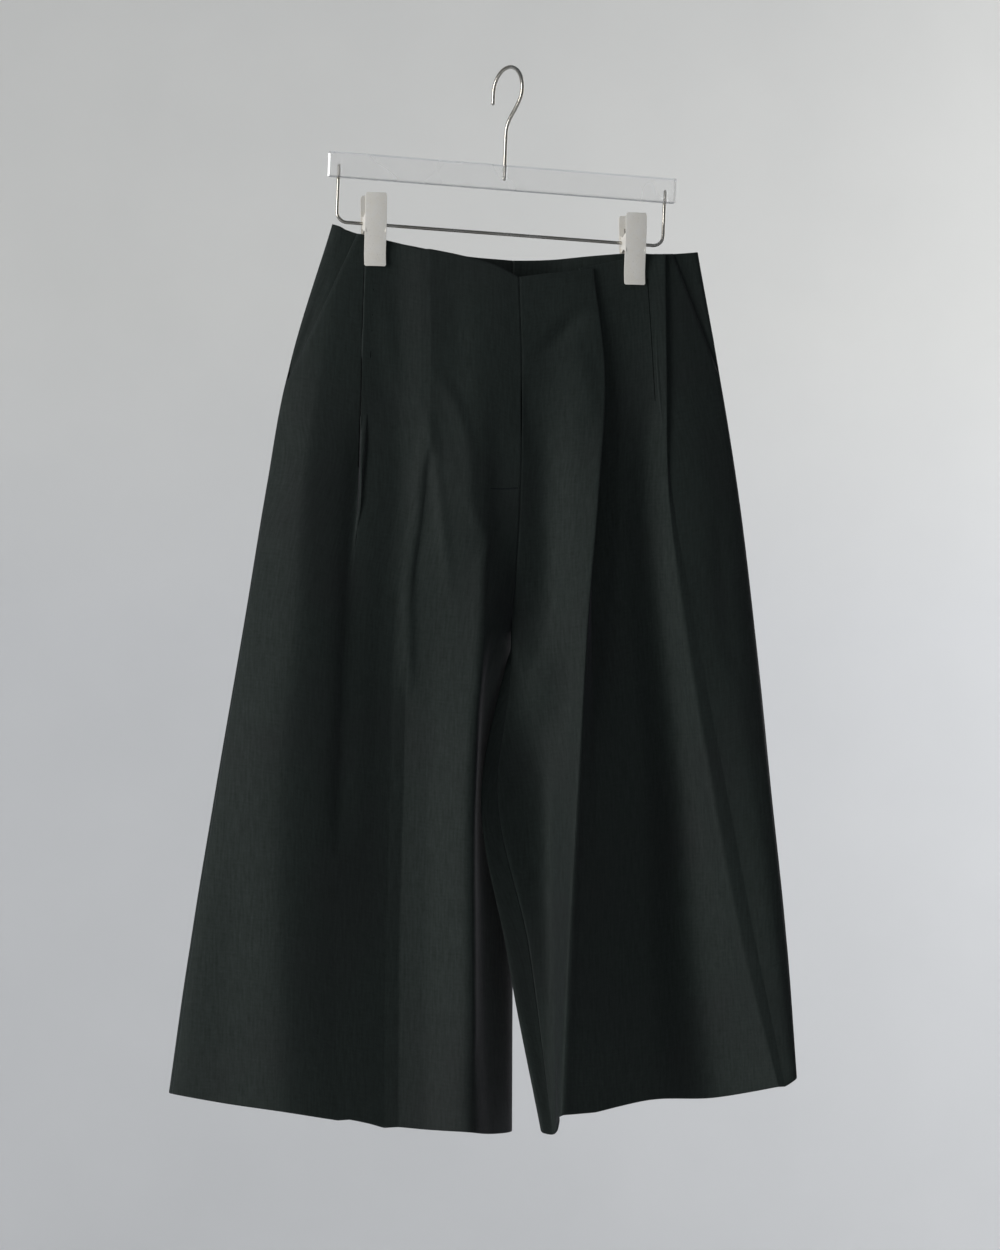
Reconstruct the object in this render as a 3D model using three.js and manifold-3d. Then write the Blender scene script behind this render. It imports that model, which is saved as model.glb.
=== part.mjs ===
// Culottes held by two clips on a bar hanger. Millimetres, +Z up, the front faces -Y.
// The origin is where the top of the hook's inside rests on a rail.
import * as THREE from "three";
import { mergeVertices } from "three/addons/utils/BufferGeometryUtils.js";
import Module from "manifold-3d";

const wasm = await Module();
wasm.setup();

// ---------------------------------------------------------------- driving sizes
const clothWall = 1.2; // twill with its seam allowance pressed behind it
const facingWall = 1.0;
const seamGap = 0.3; // between pieces that meet
const lapGap = 0.3; // between pieces that lie on each other
const bearerGap = 0.5; // the pocket bearer's, where the front curves over it
const garmentX = 3; // the garment's own centre line stands this far right of the hook
const facingHeight = 42;
const bearerLap = 14; // how far the pocket bearer runs on under the front

const hangerTilt = THREE.MathUtils.degToRad(2.5); // right end lower
const wireDiameter = 3;
const hookDiameter = 3.4;
const hookRadius = 20.5; // to the wire's centre line
const hookYaw = THREE.MathUtils.degToRad(-65); // the hook's plane, turned from the bar's
const barLength = 312;
const barHeight = 21.5;
const barDepth = 10;
const barEdge = 1.5; // radius of its long edges
const barTop = -85;
const wireHalfSpan = 147.2;
const wireDrop = -145.4; // height of the level stretch of the lower wire
const wireBend = 9;
const wireInBar = 9.5;
const shankInBar = 12;
const clipWidth = 19;
const clipAbove = 26; // above the wire
const clipBelow = 34; // below the wire
const clipPlate = 1.2;
const springDiameter = 8.6;

// ---------------------------------------------------------------- cloth tables
// Heights at which a fold's row gives its place; the first and last are only nominal,
// because each row has its own edge height at the waist (top) and at the hem (foot).
const heights = {
  waist: -165,
  tuckEnd: -270,
  flyEnd: -369,
  rise: -430,
  crotch: -480,
  split: -530,
  thigh: -636,
  knee: -765,
  hem: -905,
};

// Heights of the mesh rows.
const meshHeights = [
  -165, -180, -198, -220, -244, -254, -264, -276, -300, -326, -350, -369, -392, -412, -430, -446,
  -462, -480, -496, -512, -530, -560, -596, -636, -680, -722, -765, -812, -860, -905,
];

// Where the inseam runs, shared by the front and the back of a leg: [x, y].
const inseamRight = { split: [1, 7], thigh: [4, 11], knee: [3, 11], hem: [1, 6], foot: -934 };
const inseamLeft = {
  split: [-4, -12],
  thigh: [-18, -30],
  knee: [9, -31],
  hem: [28, -36],
  foot: -931,
};

// Side seams: [x, y].
const sideRight = {
  fold: "side seam",
  top: -141,
  waist: [-160, 1],
  tuckEnd: [-198, 3],
  flyEnd: [-217, 1],
  crotch: [-235.3, -5],
  thigh: [-262, -7],
  knee: [-282.3, -6],
  hem: [-299.4, -2],
  foot: -888.5,
};
const sideLeft = {
  fold: "side seam",
  top: -156,
  waist: [170.5, 1],
  tuckEnd: [191.5, 0],
  flyEnd: [207, -3],
  crotch: [219, -10],
  thigh: [228.5, -28],
  knee: [238, -42],
  hem: [245.3, -53],
  foot: -887.5,
};

// Rows run from the centre front to the side seam. cuts is the number of mesh steps to the
// next row. A tuck's row gives [x, y, under, drop]: the fold edge, how far the cloth runs
// back under it (negative once it has opened), and the depth from its top layer to its last.
const frontRight = [
  {
    fold: "centre front",
    cuts: 2,
    top: -184,
    waist: [2.85, -14.4],
    tuckEnd: [5.35, -14.4],
    flyEnd: [3.6, -16.2],
    rise: [1.2, -12.6],
    crotch: [-2.15, -7.4],
    ...inseamRight,
  },
  {
    fold: "flank",
    cuts: 2,
    top: -175,
    waist: [-16, -14],
    tuckEnd: [-14, -15],
    flyEnd: [-17, -18],
    crotch: [-18, -21],
    split: [-28, -20],
    thigh: [-33, -19],
    knee: [-32, -21],
    hem: [-27, -26],
    foot: -930,
  },
  {
    fold: "inner ridge",
    cuts: 2,
    top: -169,
    waist: [-37, -13],
    tuckEnd: [-34, -16],
    flyEnd: [-32, -23],
    crotch: [-31, -29],
    thigh: [-46, -37],
    knee: [-47, -40],
    hem: [-48, -45],
    foot: -924.7,
  },
  {
    fold: "dip",
    cuts: 2,
    top: -165,
    waist: [-55, -11.5],
    tuckEnd: [-54, -14],
    flyEnd: [-60, -20.5],
    crotch: [-74, -17],
    thigh: [-80, -19],
    knee: [-82, -21],
    hem: [-84, -26],
    foot: -924,
  },
  {
    fold: "tuck by the fly",
    tuck: -1,
    cuts: 2,
    top: -161.5,
    waist: [-76, -10.5, -8, 1.2],
    tuckEnd: [-76, -13.6, -8, 1.8],
    flyEnd: [-80, -12.5, -8, 1.5],
    crotch: [-94, -12, -12, 0.5],
    thigh: [-100, -13, -12, -1],
    knee: [-104, -15, -12, -1.5],
    hem: [-106, -20.5, -12, -1],
    foot: -922,
  },
  {
    fold: "valley",
    cuts: 2,
    top: -157,
    waist: [-101, -5.4],
    tuckEnd: [-104, -7],
    flyEnd: [-102, -8],
    crotch: [-120, -13],
    thigh: [-126, -17],
    knee: [-128, -19],
    hem: [-131, -24],
    foot: -917.7,
  },
  {
    fold: "tuck by the pocket",
    tuck: -1,
    cuts: 2,
    top: -151,
    waist: [-131, -5.8, 9, 3.4],
    tuckEnd: [-136, -9, 8, 4],
    flyEnd: [-139, -12, 1, 3],
    crotch: [-146, -20, -8, -2.5],
    thigh: [-152, -25, -10, -3],
    knee: [-153, -25, -10, -2.5],
    hem: [-150, -28, -10, -2],
    foot: -912.7,
  },
  {
    fold: "outer ridge",
    cuts: 2,
    top: -147.5,
    waist: [-146, -3.4],
    tuckEnd: [-172, -8],
    flyEnd: [-188, -16],
    crotch: [-196, -29],
    thigh: [-212, -35],
    knee: [-212, -36],
    hem: [-206, -37],
    foot: -903,
  },
  {
    fold: "outer slope",
    cuts: 3,
    top: -143.5,
    waist: [-153, -2.6],
    tuckEnd: [-186, -4],
    flyEnd: [-205, -10],
    crotch: [-219, -22],
    thigh: [-242, -27],
    knee: [-252, -24],
    hem: [-260, -20],
    foot: -895.5,
  },
];
const frontLeft = [
  {
    fold: "centre front",
    cuts: 2,
    top: -184,
    waist: [3.15, -12.9],
    tuckEnd: [5.65, -13],
    flyEnd: [3.9, -15],
    rise: [1.5, -12.2],
    crotch: [-1.85, -7.4],
    ...inseamLeft,
  },
  {
    fold: "hollow",
    cuts: 2,
    top: -180,
    waist: [30, -12],
    tuckEnd: [27, -11.5],
    flyEnd: [27, -11],
    crotch: [30, -12],
    split: [18, -20],
    thigh: [27, -20],
    knee: [27, -29],
    hem: [30, -44],
    foot: -920,
  },
  {
    fold: "inner slope",
    cuts: 2,
    top: -177,
    waist: [54, -13],
    tuckEnd: [58, -15.5],
    flyEnd: [54, -24],
    crotch: [46, -27],
    thigh: [38, -37],
    knee: [34, -45],
    hem: [28.5, -51],
    foot: -914,
  },
  {
    fold: "tuck by the fly",
    tuck: 1,
    cuts: 3,
    top: -174.5,
    waist: [71, -13.5, 12, 3.8],
    tuckEnd: [80, -18.5, 9, 7],
    flyEnd: [71, -30, 2, 12],
    crotch: [60, -36, -5, 11],
    thigh: [47, -50, -18, 9],
    knee: [38, -56, -26, 10],
    hem: [31, -58, -32, 9],
    foot: -911,
  },
  {
    fold: "valley",
    cuts: 2,
    top: -166,
    waist: [95, -6],
    tuckEnd: [99, -8],
    flyEnd: [96, -14],
    crotch: [100, -15],
    thigh: [112, -24],
    knee: [114, -28],
    hem: [118, -33],
    foot: -904.5,
  },
  {
    fold: "dip",
    cuts: 2,
    top: -160.5,
    waist: [124, -5.6],
    tuckEnd: [126, -9],
    flyEnd: [120, -8],
    crotch: [134, -7],
    thigh: [152, -11],
    knee: [161, -13],
    hem: [180, -17],
    foot: -907.5,
  },
  {
    fold: "tuck by the pocket",
    tuck: 1,
    cuts: 2,
    top: -159.5,
    waist: [138, -6.6, 9, 4],
    tuckEnd: [138, -11.5, 8, 6.4],
    flyEnd: [139, -15.5, -2, 4.6],
    crotch: [151, -21, -8, 0],
    thigh: [175, -31, -12, -1],
    knee: [197, -42, -12, -2],
    hem: [228, -53, -6, 0],
    foot: -894,
  },
  {
    fold: "outer slope",
    cuts: 3,
    top: -158,
    waist: [155, -2.4],
    tuckEnd: [164, -7],
    flyEnd: [176, -11],
    crotch: [191, -18],
    thigh: [212, -34],
    knee: [227, -47],
    hem: [241, -54],
    foot: -890,
  },
];

// Rows of the backs run from the side seam to the centre back.
const backRight = [
  {
    fold: "outer ridge",
    cuts: 3,
    top: -147,
    waist: [-141, 4.8],
    tuckEnd: [-165, 14],
    flyEnd: [-182, 20],
    crotch: [-196, 26],
    thigh: [-220, 34],
    knee: [-238, 44],
    hem: [-250, 54],
    foot: -904,
  },
  {
    fold: "valley",
    cuts: 3,
    top: -152,
    waist: [-121, 3.2],
    tuckEnd: [-125, 9],
    flyEnd: [-135, 16],
    crotch: [-146, 20],
    thigh: [-158, 22],
    knee: [-166, 26],
    hem: [-172, 30],
    foot: -912,
  },
  {
    fold: "middle ridge",
    cuts: 3,
    top: -158,
    waist: [-84, 6],
    tuckEnd: [-85, 15],
    flyEnd: [-90, 27],
    crotch: [-98, 33],
    thigh: [-106, 42],
    knee: [-110, 50],
    hem: [-114, 58],
    foot: -922,
  },
  {
    fold: "inner valley",
    cuts: 3,
    top: -164,
    waist: [-40, 12],
    tuckEnd: [-42, 19],
    flyEnd: [-45, 24],
    crotch: [-50, 24],
    thigh: [-54, 28],
    knee: [-55, 32],
    hem: [-56, 36],
    foot: -928,
  },
  {
    fold: "centre back",
    cuts: 0,
    top: -166.5,
    waist: [3.85, 14],
    tuckEnd: [3.85, 17],
    flyEnd: [2.85, 18],
    rise: [0.8, 11],
    crotch: [-2.15, -4.6],
    ...inseamRight,
  },
];
const backLeft = [
  {
    fold: "outer slope",
    cuts: 3,
    top: -158.5,
    waist: [140, 3.4],
    tuckEnd: [165, 12],
    flyEnd: [180, 14],
    crotch: [192, 14],
    thigh: [205, 12],
    knee: [216, 10],
    hem: [226, 8],
    foot: -900,
  },
  {
    fold: "outer ridge",
    cuts: 3,
    top: -158.3,
    waist: [112, 3.2],
    tuckEnd: [120, 9],
    flyEnd: [133, 16],
    crotch: [146, 20],
    thigh: [158, 26],
    knee: [166, 32],
    hem: [172, 38],
    foot: -908,
  },
  {
    fold: "middle ridge",
    cuts: 3,
    top: -161,
    waist: [78, 6],
    tuckEnd: [85, 15],
    flyEnd: [92, 27],
    crotch: [98, 33],
    thigh: [104, 42],
    knee: [110, 50],
    hem: [114, 56],
    foot: -914,
  },
  {
    fold: "inner valley",
    cuts: 2,
    top: -165,
    waist: [40, 12],
    tuckEnd: [44, 19],
    flyEnd: [48, 23],
    crotch: [50, 20],
    thigh: [45, 14],
    knee: [50, 18],
    hem: [62, 26],
    foot: -918,
  },
  {
    fold: "behind the inner fold",
    cuts: 4,
    top: -166,
    waist: [24, 13],
    tuckEnd: [24, 18],
    flyEnd: [24, 20],
    rise: [24, 18],
    crotch: [22, 8],
    split: [8, 0],
    thigh: [-8, -14],
    knee: [8, -10],
    hem: [30, 0],
    foot: -926,
  },
  {
    fold: "inner fold",
    cuts: 4,
    top: -166.3,
    waist: [14, 13.6],
    tuckEnd: [14, 17.5],
    flyEnd: [13, 19],
    rise: [11, 14],
    crotch: [7, 0],
    split: [-9, -10],
    thigh: [-34, -31],
    knee: [-12, -28],
    hem: [20, -34],
    foot: -930,
  },
  {
    fold: "centre back",
    cuts: 0,
    top: -166.5,
    waist: [4.15, 14],
    tuckEnd: [4.15, 17],
    flyEnd: [3.15, 18],
    rise: [1.1, 11],
    crotch: [-1.85, -4.6],
    ...inseamLeft,
  },
];

// Slant pocket mouths: from the waist down to the side seam.
const pocketRight = { topX: -138, topZ: -147, bottomX: -198, bottomZ: -276 };
const pocketLeft = { topX: 146, topZ: -158, bottomX: 189, bottomZ: -264 };

// ---------------------------------------------------------------- curves
const clamp01 = (t) => Math.min(1, Math.max(0, t));
const ease = (t) => clamp01(t) ** 2 * (3 - 2 * clamp01(t));
const mix = (a, b, t) => a.map((v, i) => v + (b[i] - v) * t);
const minus = (a, b) => a.map((v, i) => v - b[i]);
const plus = (a, b, k = 1) => a.map((v, i) => v + b[i] * k);
const length = (a) => Math.hypot(...a);
const unit = (a) => a.map((v) => v / (length(a) || 1));
const cross = (a, b) => [
  a[1] * b[2] - a[2] * b[1],
  a[2] * b[0] - a[0] * b[2],
  a[0] * b[1] - a[1] * b[0],
];

function hermite(p0, p1, m0, m1, t) {
  const t2 = t * t;
  const t3 = t2 * t;
  return p0.map(
    (v, i) =>
      v * (2 * t3 - 3 * t2 + 1) +
      m0[i] * (t3 - 2 * t2 + t) +
      p1[i] * (3 * t2 - 2 * t3) +
      m1[i] * (t3 - t2),
  );
}

// 0 down to the crotch, 1 from a little below it, where the section is one loop.
const closedBelow = (z) => ease((heights.crotch - z) / (heights.crotch - heights.split));

// A row's numbers at height z, on a smooth curve through the heights the row names.
function rowAt(row, z) {
  const knots = Object.keys(heights).filter((name) => row[name]);
  const at = knots.map((name) => heights[name]);
  let k = 0;
  while (k < knots.length - 2 && z < at[k + 1]) k++;
  const slope = (i) => {
    const a = Math.max(0, i - 1);
    const b = Math.min(knots.length - 1, i + 1);
    const before = i > 0 ? at[i] - at[i - 1] : 0;
    const after = i < knots.length - 1 ? at[i + 1] - at[i] : 0;
    if (!before || !after) return minus(row[knots[b]], row[knots[a]]).map((v) => v / (at[b] - at[a]));
    const s1 = minus(row[knots[i]], row[knots[a]]).map((v) => v / before);
    const s2 = minus(row[knots[b]], row[knots[i]]).map((v) => v / after);
    return s1.map((v, j) => (v * after + s2[j] * before) / (before + after));
  };
  const h = at[k + 1] - at[k];
  const m0 = slope(k).map((v) => v * h);
  const m1 = slope(k + 1).map((v) => v * h);
  return hermite(row[knots[k]], row[knots[k + 1]], m0, m1, (z - at[k]) / h);
}

// The height of a mesh row on this fold, from its own waist and hem edges.
function heightAt(row, z) {
  const nearTop = clamp01((z - heights.tuckEnd) / (heights.waist - heights.tuckEnd));
  const nearFoot = clamp01((heights.knee - z) / (heights.knee - heights.hem));
  return z + (row.top - heights.waist) * nearTop + (row.foot - heights.hem) * nearFoot;
}

// A fold's points across a section: one, or four for a tuck, from its top layer to its last.
function foldPoints(row, z) {
  const place = rowAt(row, z);
  const up = heightAt(row, z);
  if (!row.tuck) return [[place[0], place[1], up]];
  const [x, y, under, drop] = place;
  const shut = clamp01(under / 4);
  const across = [0, 1, 2, 3].map((i) => {
    const open = (-under * i) / 3;
    const closed = i < 2 ? 0 : -under;
    return open + (closed - open) * shut;
  });
  const back = [0, 1 / 3 + shut / 6, 2 / 3 - shut / 6, 1];
  return across.map((v, i) => [x + row.tuck * v, y + drop * back[i], up]);
}

// One section of a half: front from the centre to the side, then back to the centre.
function controlPoints(half, z) {
  const points = [];
  for (const row of [...half.front, half.side, ...half.back]) {
    const own = foldPoints(row, z);
    own.forEach((p, i) => {
      const inTuck = row.tuck && i < own.length - 1;
      points.push({ p, cuts: inTuck ? 1 : row.cuts, tight: Boolean(row.tuck) });
    });
  }
  if (z < heights.crotch) joinInseam(points, closedBelow(z));
  return points;
}

// Below the crotch the section's two ends draw together into the inseam.
function joinInseam(points, closed) {
  const first = points[0];
  const last = points[points.length - 1];
  const middle = mix(first.p, last.p, 0.5);
  const apart = [0, 1.4 * (1 - closed), 0];
  first.p = plus(middle, apart, -1);
  last.p = plus(middle, apart);
}

// Smooth section through the control points. Below the crotch its two ends are one seam.
function section(half, z) {
  const pts = controlPoints(half, z);
  const n = pts.length;
  const closed = closedBelow(z);
  const slopes = pts.map(({ p, tight }, i) => {
    const prev = i > 0 ? pts[i - 1].p : null;
    const next = i < n - 1 ? pts[i + 1].p : null;
    const tangent = (a, b) => {
      const h1 = Math.max(1e-6, length(minus(p, a)));
      const h2 = Math.max(1e-6, length(minus(b, p)));
      const s1 = minus(p, a).map((v) => v / h1);
      const s2 = minus(b, p).map((v) => v / h2);
      const t = s1.map((v, j) => (v * h2 + s2[j] * h1) / (h1 + h2));
      return { t, reach: Math.min(h1, h2) * (tight ? 1 : 1.6) };
    };
    if (prev && next) return tangent(prev, next);
    const other = prev || next;
    const reach = length(minus(p, other));
    const straight = unit(prev ? minus(p, other) : minus(other, p));
    if (closed <= 0) return { t: straight, reach };
    const round = tangent(pts[n - 2].p, pts[1].p);
    return { t: mix(straight, round.t, closed), reach };
  });
  return pts.map(({ p, cuts }, i) => ({ p, cuts, slope: slopes[i] }));
}

function onSection(sec, i, t) {
  const h = length(minus(sec[i + 1].p, sec[i].p));
  const m0 = sec[i].slope.t.map((v) => v * Math.min(h, sec[i].slope.reach));
  const m1 = sec[i + 1].slope.t.map((v) => v * Math.min(h, sec[i + 1].slope.reach));
  return hermite(sec[i].p, sec[i + 1].p, m0, m1, t);
}

// ---------------------------------------------------------------- the two halves
function makeHalf(front, side, back, pocket, sign) {
  const half = { front, side: { ...side, cuts: 3 }, back, pocket, sign };
  half.sections = meshHeights.map((z) => section(half, z));
  const first = half.sections[0];
  const frontPoints = front.reduce((sum, row) => sum + (row.tuck ? 4 : 1), 0);
  half.sideIndex = frontPoints;
  half.steps = [];
  for (let i = 0; i < first.length - 1; i++) {
    for (let c = 0; c < first[i].cuts; c++) half.steps.push([i, c / first[i].cuts]);
  }
  half.steps.push([first.length - 2, 1]);
  half.sideStep = half.steps.findIndex(([i]) => i === half.sideIndex);
  half.grid = half.sections.map((sec) => half.steps.map(([i, t]) => onSection(sec, i, t)));
  half.normals = gridNormals(half.grid, sign);
  mitreCentre(half);
  return half;
}

function gridNormals(grid, sign) {
  const rows = grid.length;
  const cols = grid[0].length;
  const isEnd = (c) => c === 0 || c === cols - 1;
  return grid.map((line, r) =>
    line.map((p, c) => {
      const after = isEnd(c) ? line[1] : line[c + 1];
      const before = isEnd(c) ? line[cols - 2] : line[c - 1];
      const dv = minus(grid[Math.min(rows - 1, r + 1)][c], grid[Math.max(0, r - 1)][c]);
      const du = plus(unit(minus(after, p)), unit(minus(p, before)));
      return unit(cross(du, dv)).map((v) => -v * sign);
    }),
  );
}

// At the centre seams both halves end on one plane, so their walls are cut straight there.
function mitreCentre(half) {
  const last = half.steps.length - 1;
  meshHeights.forEach((z, r) => {
    const closed = closedBelow(z);
    [0, last].forEach((c) => {
      const n = half.normals[r][c];
      const facing = c === 0 ? -1 : 1;
      const beside = minus(half.grid[r][c === 0 ? 1 : last - 1], half.grid[r][c]);
      const lean = Math.abs(beside[0]) / Math.hypot(beside[0], beside[1]);
      const straight = [0, facing * Math.min(1.7, 1 / Math.max(0.3, lean)), 0];
      half.normals[r][c] = mix(straight, n, closed);
    });
  });
}

const seamPull = (z) => {
  if (z >= heights.crotch) return 0;
  return 1.1 - 0.95 * closedBelow(z);
};

const right = makeHalf(frontRight, sideRight, backRight, pocketRight, -1);
const left = makeHalf(frontLeft, sideLeft, backLeft, pocketLeft, 1);
right.steppedAtSide = 8; // mesh steps of the front that close up to the pocket's edge
left.steppedAtSide = 6;

// ---------------------------------------------------------------- walls
// A closed wall from a grid of points with an offset direction each.
function wall(points, normals, thickness, shift = 0) {
  const rows = points.length;
  const cols = points[0].length;
  const vertices = [];
  for (const level of [shift + thickness / 2, shift - thickness / 2]) {
    points.forEach((line, r) =>
      line.forEach((p, c) => vertices.push(...plus(p, normals[r][c], level))),
    );
  }
  const id = (r, c, inner) => inner * rows * cols + r * cols + c;
  const faces = [];
  const quad = (a, b, c, d) => faces.push(a, b, c, a, c, d);
  for (let r = 0; r < rows - 1; r++) {
    for (let c = 0; c < cols - 1; c++) {
      quad(id(r, c, 0), id(r + 1, c, 0), id(r + 1, c + 1, 0), id(r, c + 1, 0));
      quad(id(r, c, 1), id(r, c + 1, 1), id(r + 1, c + 1, 1), id(r + 1, c, 1));
    }
  }
  for (let c = 0; c < cols - 1; c++) {
    quad(id(0, c, 0), id(0, c + 1, 0), id(0, c + 1, 1), id(0, c, 1));
    quad(id(rows - 1, c, 0), id(rows - 1, c, 1), id(rows - 1, c + 1, 1), id(rows - 1, c + 1, 0));
  }
  for (let r = 0; r < rows - 1; r++) {
    quad(id(r, 0, 0), id(r, 0, 1), id(r + 1, 0, 1), id(r + 1, 0, 0));
    quad(id(r, cols - 1, 0), id(r + 1, cols - 1, 0), id(r + 1, cols - 1, 1), id(r, cols - 1, 1));
  }
  const geometry = new THREE.BufferGeometry();
  geometry.setAttribute("position", new THREE.Float32BufferAttribute(vertices, 3));
  geometry.setIndex(signedVolume(vertices, faces) < 0 ? faces.reverse() : faces);
  geometry.computeVertexNormals();
  return geometry;
}

function signedVolume(v, faces) {
  let sum = 0;
  for (let i = 0; i < faces.length; i += 3) {
    const [a, b, c] = [0, 1, 2].map((k) => v.slice(faces[i + k] * 3, faces[i + k] * 3 + 3));
    const n = cross(b, c);
    sum += a[0] * n[0] + a[1] * n[1] + a[2] * n[2];
  }
  return sum / 6;
}

// Draws a line's end point back along the cloth, to leave the gap at a seam.
function pullEnd(line, end, amount) {
  const from = end === 0 ? 1 : line.length - 2;
  const step = minus(line[from], line[end]);
  line[end] = plus(line[end], unit(step), Math.min(amount, length(step) * 0.6));
}

function pocketEdgeX(half, z) {
  const { topX, topZ, bottomX, bottomZ } = half.pocket;
  return topX + ((bottomX - topX) * (z - topZ)) / (bottomZ - topZ);
}

// The place on a section, as a step number, where it meets the slant pocket's edge.
function pocketStep(half, r) {
  const line = half.grid[r];
  const start = half.steps.findIndex(([i]) => i === half.sideIndex - (half.sign < 0 ? 2 : 1)) - 2;
  if (meshHeights[r] <= half.pocket.bottomZ) return half.sideStep;
  for (let c = start; c < half.sideStep; c++) {
    const a = half.sign * (pocketEdgeX(half, line[c][2]) - line[c][0]);
    const b = half.sign * (pocketEdgeX(half, line[c + 1][2]) - line[c + 1][0]);
    if (a >= 0 && b <= 0) return c + a / (a - b);
  }
  return half.sideStep;
}

const along = (line, s) => {
  const c = Math.min(line.length - 2, Math.floor(s));
  return mix(line[c], line[c + 1], s - c);
};

// ---------------------------------------------------------------- panels
function frontPanel(half) {
  const keep = half.sideStep - half.steppedAtSide;
  const points = [];
  const normals = [];
  half.grid.forEach((line, r) => {
    const stop = pocketStep(half, r);
    const steps = [];
    for (let c = 0; c <= half.sideStep; c++) {
      steps.push(c <= keep ? c : keep + ((c - keep) * (stop - keep)) / (half.sideStep - keep));
    }
    const own = steps.map((s) => along(line, s));
    pullEnd(own, 0, meshHeights[r] < heights.crotch ? seamPull(meshHeights[r]) : 0);
    pullEnd(own, own.length - 1, seamGap / 2);
    points.push(own);
    normals.push(steps.map((s) => along(half.normals[r], s)));
  });
  return wall(points, normals, clothWall);
}

function backPanel(half) {
  const points = [];
  const normals = [];
  half.grid.forEach((line, r) => {
    const own = line.slice(half.sideStep);
    pullEnd(own, 0, seamGap / 2);
    pullEnd(own, own.length - 1, meshHeights[r] < heights.crotch ? seamPull(meshHeights[r]) : 0);
    points.push(own);
    normals.push(half.normals[r].slice(half.sideStep));
  });
  return wall(points, normals, clothWall);
}

// The hip piece under the slant mouth: behind the front where it laps, flush at the side.
function pocketBearer(half) {
  const points = [];
  const normals = [];
  const bottomRow = meshHeights.findIndex((z) => z <= half.pocket.bottomZ);
  for (let r = 0; r <= bottomRow; r++) {
    const line = half.grid[r];
    const edge = pocketStep(half, r);
    const edgePoint = along(line, edge);
    const narrow = r >= bottomRow - 1; // the mouth's foot, all of it under the front
    const end = narrow ? half.sideStep - 0.8 : half.sideStep;
    const lap = Math.min(bearerLap, 4 + (half.pocket.topZ - edgePoint[2]) * 0.4);
    let start = edge;
    while (start > 2 && length(minus(along(line, start), edgePoint)) < lap) start -= 0.05;
    const clear = narrow ? (start + end) / 2 : edge + (end - edge) * 0.3;
    const rise = narrow ? [1.15, 1.15, 1.15, 1.15] : [1, 0.74, 0.26, 0];
    const stations = [
      { at: start, sunk: 1 },
      { at: (start + clear) / 2, sunk: 1 },
      ...rise.map((sunk, i) => ({ at: clear + ((end - clear) * i) / 3, sunk })),
    ];
    const own = stations.map(({ at, sunk }) =>
      plus(along(line, at), along(half.normals[r], at), -sunk * (clothWall + bearerGap)),
    );
    pullEnd(own, own.length - 1, seamGap / 2);
    points.push(own);
    normals.push(stations.map(({ at }) => along(half.normals[r], at)));
  }
  return wall(points, normals, clothWall);
}

// The facing inside the back waist, one piece from side to side.
function backFacing() {
  const sink = -(clothWall / 2 + lapGap + facingWall / 2);
  const stations = [];
  const collect = (half, from, to) => {
    for (let c = from; c !== to; c += Math.sign(to - from)) stations.push([half, c]);
  };
  collect(right, right.sideStep + 3, right.steps.length - 1);
  collect(left, left.steps.length - 2, left.sideStep + 2);
  const points = [];
  const normals = [];
  for (const part of [0, 0.33, 0.66, 1]) {
    const own = [];
    const facing = [];
    for (const [half, c] of stations) {
      const top = half.grid[0][c];
      const z = top[2] - 0.6 - part * facingHeight;
      let r = 0;
      while (r < meshHeights.length - 2 && half.grid[r + 1][c][2] > z) r++;
      const a = half.grid[r][c];
      const b = half.grid[r + 1][c];
      const t = (a[2] - z) / (a[2] - b[2]);
      own.push(plus(mix(a, b, t), mix(half.normals[r][c], half.normals[r + 1][c], t), sink));
      facing.push(mix(half.normals[r][c], half.normals[r + 1][c], t));
    }
    points.push(own);
    normals.push(facing);
  }
  return wall(points, normals, facingWall);
}

// ---------------------------------------------------------------- hanger
// A closed three.js geometry as a solid that can be joined and cut.
function toSolid(geometry) {
  const bare = geometry.index ? geometry.toNonIndexed() : geometry.clone();
  bare.deleteAttribute("normal");
  bare.deleteAttribute("uv");
  const merged = mergeVertices(bare, 1e-4);
  return new wasm.Manifold(
    new wasm.Mesh({
      numProp: 3,
      vertProperties: merged.getAttribute("position").array,
      triVerts: new Uint32Array(merged.index.array),
    }),
  );
}

function toGeometry(solid) {
  const mesh = solid.getMesh();
  const geometry = new THREE.BufferGeometry();
  geometry.setAttribute("position", new THREE.Float32BufferAttribute(mesh.vertProperties, 3));
  geometry.setIndex(Array.from(mesh.triVerts));
  geometry.computeVertexNormals();
  return geometry;
}

// An outline in Y and Z, drawn out along X about the middle.
function drawnOut(shape, width) {
  const settings = { depth: width, bevelEnabled: false, curveSegments: 4 };
  const geometry = new THREE.ExtrudeGeometry(shape, settings);
  return geometry.translate(0, 0, -width / 2).rotateX(Math.PI / 2).rotateZ(Math.PI / 2);
}

function roundedRectangle(width, height, radius) {
  const x = width / 2 - radius;
  const y = height / 2 - radius;
  const shape = new THREE.Shape();
  shape.absarc(x, y, radius, 0, Math.PI / 2);
  shape.absarc(-x, y, radius, Math.PI / 2, Math.PI);
  shape.absarc(-x, -y, radius, Math.PI, Math.PI * 1.5);
  shape.absarc(x, -y, radius, Math.PI * 1.5, Math.PI * 2);
  return shape;
}

const crossRod = (diameter, width, sides) =>
  new THREE.CylinderGeometry(diameter / 2, diameter / 2, width, sides).rotateZ(Math.PI / 2);

const uprightRod = (diameter, x, bottom, top) =>
  new THREE.CylinderGeometry(diameter / 2, diameter / 2, top - bottom, 14)
    .rotateX(Math.PI / 2)
    .translate(x, 0, (top + bottom) / 2);

class Path extends THREE.CurvePath {
  constructor(...curves) {
    super();
    curves.forEach((curve) => this.add(curve));
  }
}

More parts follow.
